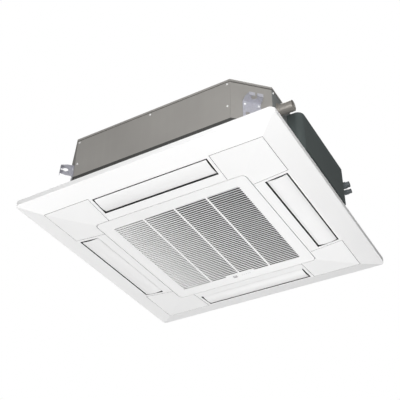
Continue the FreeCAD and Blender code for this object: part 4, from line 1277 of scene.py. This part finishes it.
@dataclass
class AirPath:
    """Fan, bell mouth, motor and evaporator."""

    fan_plastic: Finish = Moulded("fan_moulding", (0.06, 0.062, 0.066), 0.45, 0.08, 10.0)
    bell_plastic: Finish = Moulded("bell_plastic", (0.1, 0.1, 0.1), 0.5, 0.06, 10.0)
    motor_steel: Finish = Sheet("motor_case_steel", (0.42, 0.43, 0.44), 0.35, 0.05, 20.0, 0.7)
    shaft_steel: Finish = Tube("shaft_steel", (0.6, 0.6, 0.6), 0.25)
    mount_rubber: Finish = Moulded("mount_rubber", (0.03, 0.03, 0.03), 0.7, 0.1, 60.0)
    fins: Finish = Fins("coil_fins", (0.6, 0.62, 0.64), 0.4)
    end_plate: Finish = Galvanised("coil_end_plate", (0.55, 0.56, 0.57), 0.4)
    copper: Finish = Tube("coil_copper", (0.72, 0.36, 0.2), 0.3)

    def dress(self) -> None:
        """Dresses the nodes that the air passes."""
        self.fan_plastic.dress(["fan_wheel"])
        self.bell_plastic.dress(["bell_mouth"])
        self.motor_steel.dress(["fan_motor"])
        self.shaft_steel.dress(["motor_shaft"])
        self.mount_rubber.dress(["motor_mounts"])
        self.fins.dress(["evaporator_fins"])
        self.end_plate.dress(["evaporator_end_plates"])
        self.copper.dress(["evaporator_bends", "gas_pipe", "liquid_pipe"])
        LOG.info("air path dressed")


@dataclass
class Connections:
    """Drain and refrigerant connections."""

    # The flare nuts' dark grey is painted shade, not the colour of their metal.
    shaded_nut_steel: Finish = Tube("shaded_nut_steel", (0.17, 0.19, 0.2), 0.4, metallic=0.3)
    outlet_steel: Finish = Sheet("outlet_steel", (0.33, 0.31, 0.285), 0.34, 0.08, 30.0, 0.45)
    hose_rubber: Finish = Moulded("hose_rubber", (0.04, 0.04, 0.04), 0.6, 0.1, 40.0)
    pump_plastic: Finish = Moulded("pump_plastic", (0.5, 0.5, 0.48), 0.5, 0.05, 30.0)
    float_foam: Finish = Foam("float_foam", (0.7, 0.68, 0.6), 0.8, 0.05, 30.0)
    rounding: float = 0.7 * MM

    def dress(self) -> None:
        """Dresses the connections' nodes."""
        for nut in ("gas_flare_nut", "liquid_flare_nut"):
            Bench.stand(Bench.rounded(nut, self.rounding), nut, self.shaded_nut_steel)
        Bench.stand(Bench.rounded("drain_outlet", self.rounding), "drain_outlet", self.outlet_steel)
        self.hose_rubber.dress(["drain_hose"])
        self.pump_plastic.dress(["drain_pump"])
        self.float_foam.dress(["float"])
        LOG.info("connections dressed")


@dataclass(frozen=True)
class Lamp:
    """Square soft light that faces the object."""

    name: str
    place: Lengths
    width: float
    power: float

    def add(self) -> None:
        """Adds the light, which the camera does not see."""
        Bench.clear()
        bpy.ops.object.light_add(type="AREA", location=self.place)
        light = bpy.context.object
        light.name = self.name
        light.data.size = self.width
        light.data.energy = self.power
        light.visible_camera = False
        light.rotation_euler = (-Vector(self.place)).to_track_quat("-Z", "Y").to_euler()


@dataclass
class Studio:
    """Floor, soft light and the photograph's camera."""

    floor_level: float = -4.5
    floor_width: float = 120.0
    camera_place: Vector = field(default_factory=lambda: Vector((1.11509, -2.01296, -1.72731)))
    heading: float = 29.7772
    pitch: float = 36.4281
    roll: float = 0.1847
    lens: float = 71.223
    sensor: float = 36.0
    white: Colour = (1.0, 1.0, 1.0)
    backdrop_strength: float = 1.0
    light_strength: float = 0.18
    lamps: tuple[Lamp, ...] = (
        Lamp("key", (1.2, -1.7, -0.8), 1.0, 28.0),
        Lamp("left", (-2.2, -0.6, -1.6), 1.8, 35.0),
        Lamp("right", (2.2, 0.0, -1.8), 1.8, 9.0),
        Lamp("back", (-0.3, 2.3, -1.9), 1.8, 31.0),
        Lamp("front", (-0.6, -2.4, -1.2), 1.6, 18.0),
        Lamp("near", (0.9, -1.5, 0.2), 0.6, 3.5),
        Lamp("side", (2.4, -0.6, 0.3), 1.2, 2.4),
        Lamp("top", (-0.4, 0.8, 2.6), 2.0, 40.0),
        Lamp("under", (0.0, 0.3, -2.5), 5.0, 22.0),
    )
    floor_paint: Finish = Backdrop("floor_paint", (0.86, 0.86, 0.86), 0.9, 0.01, 0.5)

    def build(self) -> None:
        """Sets up the floor, the world, the lights and the camera."""
        Bench.clear()
        bpy.ops.mesh.primitive_plane_add(size=self.floor_width, location=(0, 0, self.floor_level))
        floor = bpy.context.object
        floor.name = "floor"
        self.floor_paint.cover(floor)
        floor.visible_diffuse = False
        floor.visible_glossy = False
        self.world()
        bpy.context.scene.view_settings.view_transform = "Standard"
        for lamp in self.lamps:
            lamp.add()
        self.camera()
        LOG.info("studio set up")

    def world(self) -> None:
        """Makes a backdrop that looks white and lights the object more softly than it looks."""
        world = bpy.data.worlds.new("studio")
        world.use_nodes = True
        sheet = NodeSheet(world.node_tree)
        cast, seen = (
            sheet.node("ShaderNodeBackground", {}, {"Color": self.white, "Strength": strength})
            for strength in (self.light_strength, self.backdrop_strength)
        )
        path = sheet.node("ShaderNodeLightPath", output="Is Camera Ray")
        mixed = sheet.node("ShaderNodeMixShader", {}, {0: path, 1: cast, 2: seen})
        sheet.tree.nodes.remove(sheet.tree.nodes["Background"])
        sheet.feed(sheet.tree.nodes["World Output"].inputs["Surface"], mixed)
        bpy.context.scene.world = world

    def camera(self) -> None:
        """Adds the camera at the photograph's place."""
        Bench.clear()
        bpy.ops.object.camera_add(location=self.camera_place)
        camera = bpy.context.object
        turn = Matrix.Rotation(math.radians(self.heading), 4, "Z")
        tilt = Matrix.Rotation(math.radians(RIGHT_ANGLE + self.pitch), 4, "X")
        twist = Matrix.Rotation(math.radians(self.roll), 4, "Z")
        camera.matrix_world = Matrix.Translation(self.camera_place) @ turn @ tilt @ twist
        camera.data.lens = self.lens
        camera.data.sensor_width = self.sensor
        bpy.context.scene.camera = camera


def main() -> None:
    """Builds the sub-assemblies in order."""
    logging.basicConfig(level=logging.INFO, format="%(name)s: %(message)s")
    for assembly in (CeilingPanel(), IntakeGrille(), Display(), Casing(), CasingScrews(), ControlBox(),
                     AirPath(), Connections()):
        assembly.dress()
    Studio().build()


if __name__ == "__main__":
    main()
